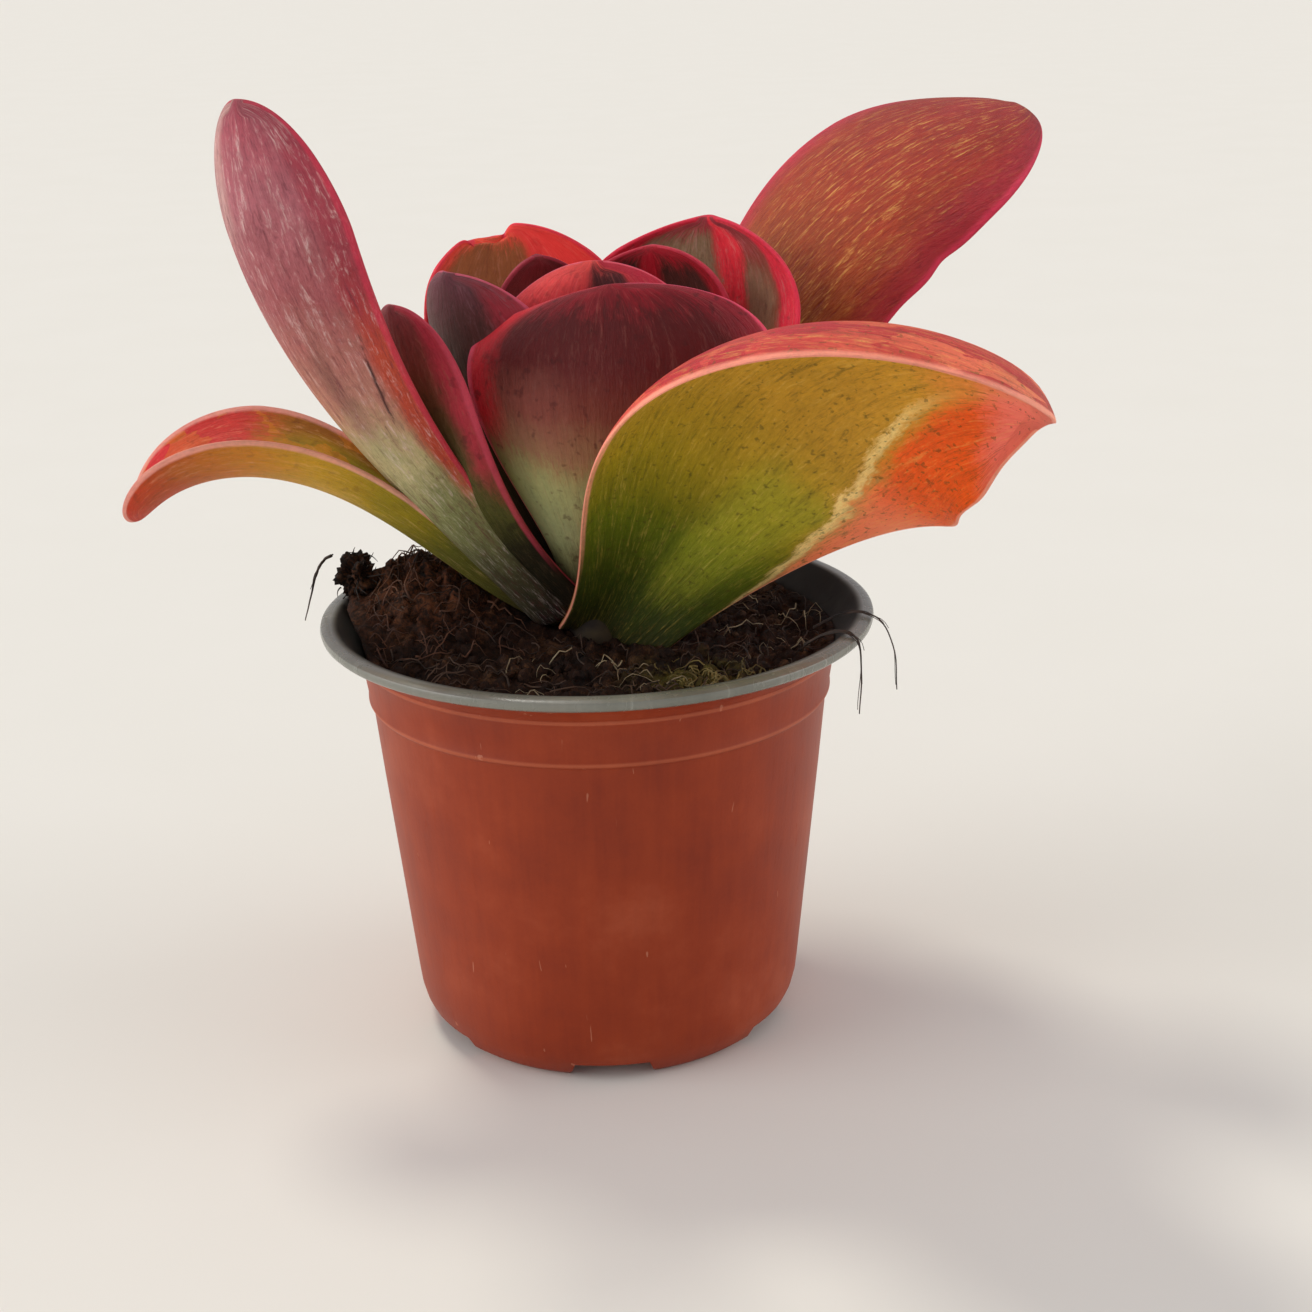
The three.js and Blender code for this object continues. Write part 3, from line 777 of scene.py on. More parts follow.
hair_bundles = {
    "root_hair_right_long": (0.36, [(-22, -13, -4.5), (-25, -7, -0.2), (-27, -2, 1.0),
                                    (-28, 1.0, -0.4), (-29, 2.0, -8), (-30, 1.6, -16)]),
    "root_hair_right_thin": (0.24, [(-8, -13, -4.5), (-11, -7, -0.2), (-13, -2, 1.0),
                                    (-14, 2.4, -0.6), (-15, 5.4, -7), (-15, 5.4, -16)]),
    "root_hair_left": (0.40, [(166, 0.5, 9), (168, 2, 8.4), (169, 3.6, 5), (170, 4.6, 0),
                              (171, 6.2, -5)]),
}
hair_finish = thread("dry_root", "4a3a30", "17100c")
for name, (thick, stops) in hair_bundles.items():
    bundle = [(over_rim(stops, 1.0), thick, 0.12)]
    for k in range(3):
        strayed = [(a + 1.1 * math.sin(2 * k + i), r + 0.3 * k * (i > 2), z - 1.2 * k * (i > 3))
                   for i, (a, r, z) in enumerate(stops)]
        bundle.append((over_rim(strayed, 3.0 + k)[: 25 - 4 * k], thick * 0.45, 0.07))
    hair = join_strands(name + "_fine", bundle)
    hair.data.materials.append(hair_finish)
    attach(hair, "root")
    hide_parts(name)
    print(name, "hangs", round(hair.dimensions.z / MM), "mm")

# %% [markdown]
# ## Stem
# The stem is short and thick, and the leaves clasp it so closely that it hardly shows. The tool that
# grew the pot grows it too, and Subdivision Surface rounds it.

# %% Stem
stem_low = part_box("main_stem")[0].z / MM
stem_rings = [(4.4, stem_low), (6.3, stem_low + 3), (6.4, stem_top - 22), (5.9, stem_top - 10),
              (5.0, stem_top - 3), (3.2, stem_top - 0.4)]
stem = ring_piece("main_stem_fine", stem_rings, 32)
bulge = stem.modifiers.new("round", "SUBSURF")
bulge.levels = bulge.render_levels = 2
bpy.ops.object.modifier_apply(modifier="round")
bpy.ops.object.shade_smooth()
stem.data.materials.append(thread("stem_skin", "4a3c24", "241a10"))
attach(stem, "root")
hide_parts("main_stem")
print("stem", [round(d / MM, 1) for d in stem.dimensions])

# %% [markdown]
# ## The leaf's shape
# A paddle leaf is a fleshy strip: a stalk-like foot, a blade that is widest past its middle, and a
# round tip. It bends along its length, turns round its own spine, and cups across. The leaf is
# described by those few numbers, and the same numbers shaped the leaf of the frame. Here a grid is
# laid along that curve, and Solidify and Subdivision Surface make it a smooth fleshy body.
#
# The shape starts with the spine. Heading and rise say which way it grows at each share of the
# length, so adding up small strides gives its place.

# %% Spine of a leaf
STRIDES = 240


def through(at_foot, at_middle, at_tip, t):
    return at_foot * (1 - t) * (1 - 2 * t) + at_middle * 4 * t * (1 - t) + at_tip * t * (2 * t - 1)


def directions(leaf, t):
    """Along the spine, across the blade and up from its upper face, one row for each t."""
    heading = np.radians(leaf["azimuth"] + leaf["sway"] * t)
    rise = np.radians(through(*leaf["rise"], t))
    flat = np.cos(rise)
    along = np.stack([flat * np.cos(heading), flat * np.sin(heading), np.sin(rise)], 1)
    level = np.stack([-np.sin(heading), np.cos(heading), 0 * t], 1)
    over = np.cross(along, level)
    twist = np.radians(leaf["twist"][0] + (leaf["twist"][1] - leaf["twist"][0]) * t)[:, None]
    across = level * np.cos(twist) + over * np.sin(twist)
    return along, across, np.cross(along, across)


def spine(leaf, t):
    """Places on the spine, in millimetres."""
    middle = (np.arange(STRIDES) + 0.5) / STRIDES
    strides = directions(leaf, middle)[0] * leaf["length"] / STRIDES
    walked = np.vstack([np.zeros(3), np.cumsum(strides, 0)])
    turn = math.radians(leaf["azimuth"])
    foot = [leaf["out"] * math.cos(turn), leaf["out"] * math.sin(turn), soil_level + leaf["lift"]]
    ends = np.linspace(0, 1, STRIDES + 1)
    return np.stack([np.interp(t, ends, walked[:, i]) for i in range(3)], 1) + foot


print("a spine is walked in", STRIDES, "strides")

# %% [markdown]
# A section of the leaf is an arc. Cup turns it evenly from the middle to each margin, and curl adds
# a turn that grows towards one margin, as where an edge rolls over. Dents, bites and ripples then
# spoil the perfect outline: a nick in a margin, a notch in the tip, a wave along an edge.

# %% Half width and section of a leaf
def half_width(leaf, t):
    rising = np.clip(t / leaf["widest"], 0, 1)
    body = leaf["neck"] + (1 - leaf["neck"]) * rising**2 * (3 - 2 * rising)
    beyond = np.clip((t - leaf["widest"]) / (1 - leaf["widest"]), 0, 1)
    tip = np.sqrt(np.maximum(0, 1 - beyond ** leaf["blunt"]))
    return leaf["width"] / 2 * np.where(t < leaf["widest"], body, tip)


def section(leaf, t, s, parts=16):
    """Out and up from the spine on the arc of the section, for a half width of 1, and its slope."""
    curl, power = (np.where(s < 0, leaf["curl_right"][i], leaf["curl_left"][i]) for i in range(2))
    curl = curl * np.sin(np.pi * np.clip(t, 0, 1) ** 0.8) ** 0.6

    def slope(reached):
        return np.radians(leaf["cup"] * reached + curl * reached**power)

    reach = np.abs(s)
    bends = [slope(reach * (i + 0.5) / parts) for i in range(parts)]
    out = sum(np.cos(bend) for bend in bends) * reach / parts
    up = sum(np.sin(bend) for bend in bends) * reach / parts
    return out, up, slope(reach)


def bump_at(value, centre, spread):
    return np.exp(-(((value - centre) / spread) ** 2))


def blade(leaf, t, s):
    """Places and normals of the middle surface, for shares t along and s across, from -1 to 1."""
    along, across, over = directions(leaf, t)
    side = np.where(s < 0, -1.0, 1.0)
    out, up, bend = section(leaf, t, s)
    wide = half_width(leaf, t)
    for at, edge, depth, spread in leaf["dents"]:
        wide = wide * (1 - depth * bump_at(t, at, spread) * np.clip(s * edge, 0, 1) ** 2)
    place = spine(leaf, t) + across * (side * out * wide)[:, None] + over * (up * wide)[:, None]
    for at, across_at, depth, spread_t, spread_s in leaf["bites"]:
        bitten = depth * bump_at(t, at, spread_t) * bump_at(s, across_at, spread_s)
        place = place - along * bitten[:, None]
    normal = over * np.cos(bend)[:, None] - across * (side * np.sin(bend))[:, None]
    for waves, height, phase, edge in leaf["ripples"]:
        reach = np.clip(s * edge, 0, 1) ** 3 * np.sin(np.pi * t) ** 0.5
        wave = height * reach * np.sin(2 * np.pi * (waves * t + phase))
        place = place + normal * wave[:, None]
    return place, normal


print("soil level at", round(soil_level, 1), "mm")

# %% [markdown]
# The grid needs care at the tip. Rows that close to a point there would crowd their faces into
# slivers, so past the widest place the grid is mapped on to a half disc instead: its outer row
# becomes the tip's rim, and all its faces stay nearly square.

# %% A flat blade
THICKEST = 4.6


def grid_shares(leaf, body_rows, tip_rows, columns, rows):
    """The shares t and s of a grid point, from its place in the grid, 0 to 1 each way."""
    s = 2 * columns - 1
    row = rows * (body_rows + tip_rows)
    body = np.clip(row / body_rows, 0, 1)
    tip = np.clip((row - body_rows) / tip_rows, 0, 1)
    reach = tip * np.sqrt(1 - s**2 / 2)  # how far into the half disc
    wide = s * np.sqrt(1 - tip**2 / 2)
    full = np.sqrt(np.maximum(1e-9, 1 - reach**2))
    t_tip = leaf["widest"] + (1 - leaf["widest"]) * reach ** (2 / leaf["blunt"])
    t = np.where(row <= body_rows, leaf["widest"] * body, t_tip)
    s = np.where(row <= body_rows, s, np.clip(wide / full, -1, 1))
    return np.clip(t, 0, 1), s


def co_array(piece):
    places = np.zeros(len(piece.data.vertices) * 3)
    piece.data.vertices.foreach_get("co", places)
    return places.reshape(-1, 3)


def flat_leaf(leaf, columns, body_rows, tip_rows):
    """A grid bent into the blade, its shares t and s, and its places and normals."""
    deselect()
    rows = body_rows + tip_rows
    bpy.ops.mesh.primitive_grid_add(x_subdivisions=columns, y_subdivisions=rows, size=1)
    piece = bpy.context.object
    piece.name = piece.data.name = leaf["name"] + "_fine"
    column, row = (co_array(piece) + 0.5).T[:2]
    t, s = grid_shares(leaf, body_rows, tip_rows, column, row)
    place, normal = blade(leaf, t, s)
    piece.data.vertices.foreach_set("co", (place * MM).ravel())
    piece.data.update()
    facing = sum(Vector(normal[p.vertices[0]]).dot(p.normal) for p in piece.data.polygons)
    if facing < 0:
        bpy.ops.object.mode_set(mode="EDIT")
        bpy.ops.mesh.select_all(action="SELECT")
        bpy.ops.mesh.flip_normals()
        bpy.ops.object.mode_set(mode="OBJECT")
    return piece, t, s, place, normal


print("a leaf is", THICKEST, "mm thick at its foot")

# %% [markdown]
# Solidify gives the blade its flesh. A vertex group makes it thick at the foot and along the middle
# and thin at the margins. Each point of the body then gets the shares of the blade's point it came
# from, and 1 or -1 for the face it is on, as an attribute that the skin will read.

# %% A leaf's body
def make_leaf(leaf, columns, body_rows, tip_rows):
    piece, t, s, place, normal = flat_leaf(leaf, columns, body_rows, tip_rows)
    count = len(t)
    thick = (THICKEST - 2.0 * t**0.6) * (1 - 0.72 * s**2)
    group = piece.vertex_groups.new(name="thickness")
    for i in range(count):
        group.add([i], float(thick[i] / THICKEST), "REPLACE")
    flesh = piece.modifiers.new("flesh", "SOLIDIFY")
    flesh.thickness = THICKEST * MM
    flesh.offset = 0
    flesh.vertex_group = "thickness"
    flesh.thickness_vertex_group = 0
    bpy.ops.object.modifier_apply(modifier="flesh")
    came_from = np.tile(np.arange(count), 2)
    offset = ((co_array(piece) / MM - place[came_from]) * normal[came_from]).sum(1)
    shares = np.stack([t[came_from], s[came_from], np.where(offset >= 0, 1.0, -1.0)], 1)
    layer = piece.data.attributes.new("leaf", "FLOAT_VECTOR", "POINT")
    layer.data.foreach_set("vector", shares.astype(np.float32).ravel())
    smooth = piece.modifiers.new("smooth", "SUBSURF")
    smooth.levels = smooth.render_levels = 2
    bpy.ops.object.modifier_apply(modifier="smooth")
    bpy.ops.object.shade_smooth()
    piece.vertex_groups.clear()
    return piece


print("the shares t, s and the face go on each point as an attribute")

# %% [markdown]
# ## The leaf's skin
# The skin is painted on the leaf's own coordinates, which the mesh carries as an attribute: the
# share along it, the share across it, and which face it is. Each face gets a ramp from foot to tip,
# then touches: a blush of crimson near a margin, a patch of olive. Each touch is a window along and
# across, with its borders moved about by noise so that they look grown. Painting by hand would do
# the same for one leaf; windows do it for all of them, and stay sharp close up.

# %% Paint for one face
END = 9  # past every margin, so that a touch has no border there


def window(value, low, high, soft):
    """1 between low and high, or nothing where both are past the margins."""
    mask = value.step(low - soft, low + soft) if low > -END else None
    if high < END:
        fall = 1 - value.step(high - soft, high + soft)
        mask = fall if mask is None else mask * fall
    return mask


def deep(hex_value, strength=1.1):
    """A hex colour made more vivid, since the skin's gloss pales it again."""
    colour = shade(hex_value)[:3]
    grey = 0.3 * colour[0] + 0.59 * colour[1] + 0.11 * colour[2]
    return (*[min(1.0, max(0.002, grey + (c - grey) * strength)) for c in colour], 1.0)


def painted(ramp, touches, along, across):
    colour = along.ramp(*[(t, deep(c)) for t, c in ramp])
    for touch in touches:
        slanted = across + touch["slant"] * along
        soft_t, soft_s = touch["soft"]
        mask_t = window(along, *touch["along"], soft_t)
        mask_s = window(slanted, *touch["across"], soft_s)
        mask = mask_t if mask_s is None else mask_t * mask_s
        colour = colour.over(deep(touch["colour"]), mask * touch["amount"])
    return colour


print("crimson is painted as", [round(c, 3) for c in deep("b82838")])

# %% [markdown]
# Streaks, wrinkles and freckles run the length of the leaf. Noise on flat coordinates in
# centimetres, stretched along the leaf, follows its bends; noise on object coordinates would cut
# straight through them.

# %% Patterns in the skin
def skin_patterns(start, leaf, along, across, face):
    """Places on the flat leaf, then streaks, blotches and fine lines."""
    look = leaf["look"]
    long_cm = along * (leaf["length"] / 10)
    wide_cm = across * (leaf["width"] / 20)
    slant = long_cm * look["slope"]
    seed = leaf["azimuth"] * 0.37 + leaf["length"]
    streak_at = start.node("CombineXYZ", {0: long_cm * 0.35, 1: wide_cm * 3 + slant, 2: face})
    blotch_at = start.node("CombineXYZ", {0: long_cm * 0.8, 1: wide_cm, 2: face})
    fine_at = start.node("CombineXYZ", {0: long_cm * 1.1, 1: wide_cm * 4 + slant * 2, 2: face})
    streaks = streak_at.noise(look["streak_scale"], 5, 0.62, 0.6, seed)
    blotches = blotch_at.noise(1.3, 5, 0.6, 0.0, seed)
    fine = fine_at.noise(2.6, 6, 0.72, 1.2, seed)
    return long_cm, wide_cm, streaks, blotches, fine


def blocks(start, upper, cells, long_cm, wide_cm, wobble, face):
    """The face turned to the light reddens in small blocks of skin."""
    block_at = start.node("CombineXYZ", {0: long_cm * 0.8 + wobble, 1: wide_cm + wobble, 2: face})
    block = start.node("TexVoronoi", {"Vector": block_at, "Scale": 1.5}, output="Color")
    colour, amount = cells
    return upper.over(deep(colour), block.parts()[0].step(0.45, 0.6) * amount)


print("the patterns are drawn in centimetres")


# %% The whole skin
MARGIN = 1.5  # millimetres


def leaf_skin(leaf):
    look = leaf["look"]
    material, start, here, skin = new_finish(leaf["name"] + "_skin")
    along, across, face = start.node("Attribute", attribute_name="leaf", output="Vector").parts()
    patterns = skin_patterns(start, leaf, along, across, face)
    long_cm, wide_cm, streaks, blotches, fine = patterns
    grain = here.noise(900, 3, 0.7)
    specks = here.noise(look["speck_scale"], 2)
    wobble = blotches - 0.5

    wander = look["wander"]
    t = along + wobble * wander + (fine - 0.5) * wander
    s = across + wobble * (wander * 1.6) + (fine - 0.5) * wander
    upper = painted(look["upper"], look["upper_touches"], t, s)
    lower = painted(look["lower"], look["lower_touches"], t, s)
    if "cells" in look:
        upper = blocks(start, upper, look["cells"], long_cm, wide_cm, wobble, face)
    colour = lower.over(upper, face.step(-0.15, 0.15))

    # Pale dusty streaks, which may keep to the middle of the leaf, then dark ones and freckles.
    streaky = streaks * 0.45 + fine * 0.55
    inside = 1 - (abs(across) + wobble * 0.8).step(0.45, 0.9) * look["pale_inside"]
    pale_mask = streaky.step(0.50, 0.66) * look["pale_amount"] * inside
    colour = colour.over(shade(look["pale"]), pale_mask)
    dark = shade(look["dark"])
    colour = colour.over(dark, (1 - streaky).step(0.50, 0.66) * look["dark_amount"])
    colour = colour.over(dark, specks.step(0.60, 0.72) * look["speck_amount"])

    # The margin: a thin bright line round the rim of the blade.
    border = 1 - 2 * MARGIN / leaf["width"]
    near = (abs(across) + wobble * 0.05).step(border - 0.02, border + 0.03) * along.step(0.12, 0.3)
    rim = 1 - abs(face).step(0.2, 0.8)
    colour = colour.over(deep(look["edge"]), near.math("MAXIMUM", near, rim) * 0.75)
    uneven = (0.80 + 0.40 * grain) * (0.72 + 0.56 * blotches) * look["bright"]
    feed(skin, "Base Color", colour.dim(uneven))

    # Wrinkles run along the leaf, and the specks stand up a little from the waxy skin.
    feed(skin, "Roughness", 0.40 + 0.22 * streaks + 0.12 * specks)
    height = streaks * 0.4 + fine * 0.35 + specks * 0.10 + blotches * 0.4
    relief = {"Height": height, "Distance": look["relief"], "Strength": 0.9}
    feed(skin, "Normal", start.node("Bump", relief))
    skin.inputs["Specular IOR Level"].default_value = 0.28
    skin.inputs["Subsurface Weight"].default_value = 0.12
    skin.inputs["Subsurface Radius"].default_value = (0.004, 0.0015, 0.0008)
    skin.inputs["Subsurface Scale"].default_value = 0.6
    return material


print("leaf tools ready")

# %% [markdown]
# ## The leaves
# Each entry gives one leaf's shape, in millimetres and degrees, and its look. Azimuth 0 is the right
# and 90 the back. Upper is the face that looks to the rosette's middle, lower the one that looks out.
# A leaf that says nothing about its curl, dents, bites or ripples has none.

# %% What an entry holds
STRAIGHT = (0, 3)
usual_shape = {"curl_right": STRAIGHT, "curl_left": STRAIGHT, "dents": [], "bites": [], "ripples": [],
               "grid": (16, 26, 10)}
usual_look = {"upper_touches": [], "lower_touches": [], "slope": 0, "streak_scale": 2.4,
              "speck_scale": 420, "pale_inside": 0, "wander": 0.16, "relief": 0.0009, "bright": 1.1}
leaves = []


def touch(colour, along, across, amount=1.0, soft=(0.06, 0.12), slant=0):
    """A touch of colour between two places along and two across, with soft borders."""
    return {"colour": colour, "along": along, "across": across, "amount": amount, "soft": soft,
            "slant": slant}


def add_leaf(name, slot, look, **shape):
    look = {**usual_look, **look}
    leaves.append({"name": name, "slot": slot, "look": look, **usual_shape, **shape})


print("a leaf's grid has columns, body rows and tip rows:", usual_shape["grid"])

# %% [markdown]
# Four large leaves spread outwards. The flap in front is turned on its side and rolls over at its
# top edge, so it shows an olive face that turns orange towards the tip, with a cream line between.
# The olive goes near black at the foot as painted shade, the orange is brightened by painted light
# shining through the leaf, and the cream line is a painted highlight along the ridge where the face
# bends. The tall ones stand at the left and right, and the arched one falls over the rim.

# %% Front flap
add_leaf(
    "leaf_front_flap", "leaf_olive",
    azimuth=-51, sway=29, rise=(48, 40, -32), length=130, width=95, widest=0.67, neck=0.25, blunt=2,
    out=1.8, lift=-0.8, twist=(-60, -53), cup=-71, curl_right=(-17, 3.6), curl_left=(110, 1.3),
    dents=[(1.1, 1, 0.405, 0.27), (0.95, -1, -0.3, 0.04), (0.737, 1, 0.022, 0.068)],
    bites=[(1.0, -0.6, -4, 0.05, 0.6), (0.909, 1, -2.83, 0.051, 0.6)],
    look=dict(
        upper=[(0, "7a5a30"), (0.3, "b8745a"), (0.5, "c05048"), (0.75, "ac3834"), (1, "d07458")],
        lower=[
            # near black at the foot: painted shade
            (0, "1c1804"), (0.14, "36430f"), (0.28, "5c661d"), (0.42, "94802c"), (0.6, "ac8436"),
            (0.8, "bc8c3c"), (1, "d86a4a"),
        ],
        lower_touches=[
            touch("96983a", (0.16, 0.5), (0.1, 0.6), 0.5),
            # beyond the ridge the leaf goes orange: leaf colour, brightened by painted light shining
            # through it
            touch("d4582e", (0.3, END), (1.38, END), soft=(0.06, 0.08), slant=1.45),
            touch("e88a6a", (0.1, 0.6), (1.3, END), 0.6, soft=(0.1, 0.1), slant=1.45),
            # the cream line along the ridge is a painted highlight
            touch("f0d898", (0.12, 0.8), (1.27, 1.32), 0.7, soft=(0.08, 0.035), slant=1.45),
            touch("e27a70", (0.92, END), (-END, END), 0.8, soft=(0.04, 0.1)),
        ],
        cells=("9c1a2c", 0.75), edge="e89a84", pale="d8b45a", dark="4a4010", pale_amount=0.35,
        dark_amount=0.6, speck_amount=0.55, speck_scale=800, slope=0.5, wander=0.07, bright=1.35,
    ),
)

# %% Tall leaf at the left
add_leaf(
    "leaf_tall_left", "leaf_mauve",
    azimuth=204, sway=33, rise=(50, 55, 88), length=135, width=35, widest=0.8, neck=0.38, blunt=1.7,
    out=10, lift=4.2, twist=(41, -1), cup=49, curl_left=(-49, 3),
    look=dict(
        upper=[(0, "4a4a2a"), (0.4, "8a7a4a"), (0.7, "a05048"), (1, "9c3c48")],
        lower=[
            # the lower face starts near black at the foot: painted shade where the leaves crowd round
            # the stem
            (0, "1a160a"), (0.12, "4a4830"), (0.28, "8a8c5e"), (0.4, "b8ac80"), (0.54, "b07a6c"),
            (0.7, "9c5658"), (0.86, "a8646c"), (1, "a8505c"),
        ],
        lower_touches=[
            touch("b04a38", (0.3, 0.72), (0.66, END)),
            touch("94303e", (0.66, 0.97), (0.62, END), 0.75),
            touch("c8a29a", (0.8, END), (-END, -0.4), 0.65),
            # the dusky patch in the middle of the blade is painted shade
            touch("6e4840", (0.46, 0.62), (-0.15, 0.15), 0.5),
            touch("2a0a0e", (0.5, 0.62), (0.055, 0.095), 0.9, soft=(0.02, 0.02), slant=-0.875),
        ],
        edge="c03c50", pale="e8cfc8", dark="6c2c38", pale_amount=0.55, dark_amount=0.7,
        speck_amount=0.2, relief=0.0014,
    ),
)

# %% Arched leaf at the left
add_leaf(
    "leaf_arched_left", "leaf_coral",
    azimuth=185, sway=-1, rise=(24, 31, -52), length=102, width=45, widest=0.72, neck=0.2,
    blunt=1.6, out=8, lift=3.5, twist=(16, 1), cup=60, curl_right=(10, 3), curl_left=(-32, 3),
    bites=[(1.0, 0.75, -3, 0.05, 0.25)],
    look=dict(
        upper=[
            (0, "3a3a14"), (0.35, "6a6424"), (0.5, "7c7418"), (0.64, "9a7a1c"), (0.8, "c8642c"),
            (1, "cc4840"),
        ],
        upper_touches=[
            touch("b82838", (0.7, END), (-END, -0.4), 0.8),
            touch("8a3a1e", (0.4, 0.68), (-END, -0.75), 0.6),
        ],
        lower=[
            (0, "2e2a14"), (0.3, "5a5a24"), (0.45, "8c7a1e"), (0.6, "b48a26"), (0.75, "b06c16"),
            (0.88, "a04608"), (1, "b43426"),
        ],
        cells=("c07a24", 0.5), bright=1.3, edge="dc9c90", pale="e0b080", dark="5a2410",
        pale_amount=0.3, dark_amount=0.25, speck_amount=0.25,
    ),
)

# %% Tall leaf at the right
add_leaf(
    "leaf_tall_right", "leaf_brick",
    azimuth=20, sway=-3, rise=(45, 59, -5), length=146, width=71, widest=0.8, neck=0.25, blunt=2,
    out=5, lift=6.3, twist=(22, 4), cup=-8, curl_right=(-58, 3), curl_left=(-5, 3),
    dents=[(0.68, -1, 0.05, 0.02), (0.58, -1, 0.03, 0.03)],
    bites=[(0.998, 1, 4, 0.008, 0.9)],
    ripples=[(5, 0.5, 0.2, -1)],
    grid=(26, 26, 20),
    look=dict(
        upper=[
            (0, "4a4420"), (0.3, "7a5426"), (0.55, "8c4424"), (0.7, "8c3420"), (0.86, "86281e"),
            (1, "882426"),
        ],
        upper_touches=[
            touch("a8283c", (0.3, END), (0.8, END), 0.8, soft=(0.06, 0.14)),
            touch("8c2430", (0.3, END), (-END, -0.78), 0.8, soft=(0.06, 0.14)),
        ],
        lower=[(0, "4a4a28"), (0.4, "8a7a4a"), (0.7, "a0604c"), (1, "984450")],
        edge="c03c54", pale="c8964a", dark="6a0e10", pale_amount=0.85, dark_amount=0.75,
        bright=1.35, pale_inside=0.85, speck_amount=0.25, slope=0.7, streak_scale=3.2,
        relief=0.0014,
    ),
)
print("entries:", len(leaves))

# %% [markdown]
# The leaves of the rosette's front stand upright and show their outer faces: pale sage at the foot,
# then maroon, with a crimson margin.

# %% Leaf in the middle of the front
add_leaf(
    "leaf_front_centre", "leaf_maroon",
    azimuth=-80, sway=1, rise=(59, 68, 107), length=76, width=68, widest=0.75, neck=0.25, blunt=2.4,
    out=4.3, lift=9.7, twist=(11, -28), cup=39,
    look=dict(
        upper=[(0, "5a6030"), (0.4, "7a7a40"), (0.7, "7a3c30"), (1, "8a2430")],
        lower=[
            (0, "2c2a18"), (0.12, "5a5c40"), (0.26, "8c9064"), (0.4, "94925a"), (0.52, "86664a"),
            (0.64, "6c382c"), (0.78, "501818"), (0.9, "4a1012"), (1, "841824"),
        ],
        lower_touches=[
            touch("84504a", (0.5, 0.74), (-0.9, -0.3), 0.25),
            touch("b83038", (0.55, END), (-END, -0.78), soft=(0.08, 0.1)),
            touch("8c2430", (0.7, END), (0.75, END), 0.8),
            touch("9aa078", (0.2, 0.46), (-0.9, -0.1), 0.5),
        ],
        edge="dc5870", pale="a87868", dark="3c1010", pale_amount=0.15, dark_amount=0.35,
        speck_amount=0.5, bright=1.35,
    ),
)

# %% Narrow leaf
add_leaf(
    "leaf_narrow_left", "leaf_maroon",
    azimuth=-154, sway=10, rise=(43, 59, 89), length=81, width=30, widest=0.74, neck=0.5, blunt=2,
    out=6.3, lift=7.5, twist=(5, 6), cup=39,
    look=dict(
        upper=[(0, "3a3a20"), (0.5, "5c4a28"), (1, "8c3038")],
        # near black up to a quarter of its length: painted shade deep in the rosette
        lower=[
            (0, "120e06"), (0.25, "242010"), (0.4, "4c4a22"), (0.55, "4a4420"), (0.7, "5a3c22"),
            (0.85, "6a3028"), (1, "8a3a40"),
        ],
        lower_touches=[
            touch("a83040", (0.5, END), (0.66, END), 0.85, soft=(0.1, 0.14)),
        ],
        edge="b84858", pale="8c6c50", dark="180c06", pale_amount=0.25, dark_amount=0.4,
        speck_amount=0.3,
    ),
)

# %% Dusky leaf
add_leaf(
    "leaf_dusky_left", "leaf_maroon",
    azimuth=-169, sway=10, rise=(66, 68, 92), length=75, width=51, widest=0.63, neck=0.34,
    blunt=2.1, out=5.8, lift=10, twist=(4, 22), cup=60,
    dents=[(0.88, -1, -0.45, 0.14)],
    look=dict(
        upper=[(0, "3c3c24"), (0.5, "5a4a30"), (1, "8a3040")],
        lower=[(0, "2a2a1a"), (0.5, "453420"), (0.75, "452a20"), (0.88, "4e2826"), (1, "64303a")],
        lower_touches=[
            touch("8c2a34", (0.7, 0.96), (0.55, END)),
            touch("7e3440", (0.8, END), (-END, -0.6), 0.7),
        ],
        edge="c8586c", pale="8a6468", dark="1c0c0e", pale_amount=0.4, dark_amount=0.35,
        speck_amount=0.3,
    ),
)
print("entries:", len(leaves))

# %% [markdown]
# The leaves behind them look in, so their upper faces show over the ones in front; only the coral
# leaf, just behind the middle one, turns its outer face. Sun has striped them with crimson and
# olive, and one has a notch in its tip.

# %% Notched leaf
add_leaf(
    "leaf_notched_back", "leaf_crimson",
    azimuth=123, sway=-10, rise=(70, 61, 85), length=75, width=53, widest=0.6, neck=0.29, blunt=2,
    out=5.8, lift=16.7, twist=(-3, -9), cup=35,
    bites=[(0.991, 1, 7, 0.014, 0.9)],
    ripples=[(3, 0.8, 0.1, 1), (2, 0.6, 0.4, -1)],
    grid=(26, 26, 20),
    look=dict(
        upper=[(0, "4a4a20"), (0.5, "7a5030"), (0.8, "b84038"), (1, "cc4a3c")],
        upper_touches=[
            touch("e04844", (0.7, END), (-END, -0.1), soft=(0.06, 0.1)),
            touch("74502c", (0.66, 0.95), (-0.25, 0.8), 0.85, soft=(0.04, 0.1)),
        ],
        lower=[(0, "4a4a28"), (0.5, "8a7a44"), (0.8, "a04a40"), (1, "a83844")],
        # bright is 1.7 here to lift the face that looks away from the key lamp: painted light
        bright=1.7, edge="c03848", pale="d08874", dark="5c1c18", pale_amount=0.25, dark_amount=0.3,
        speck_amount=0.25,
    ),
)

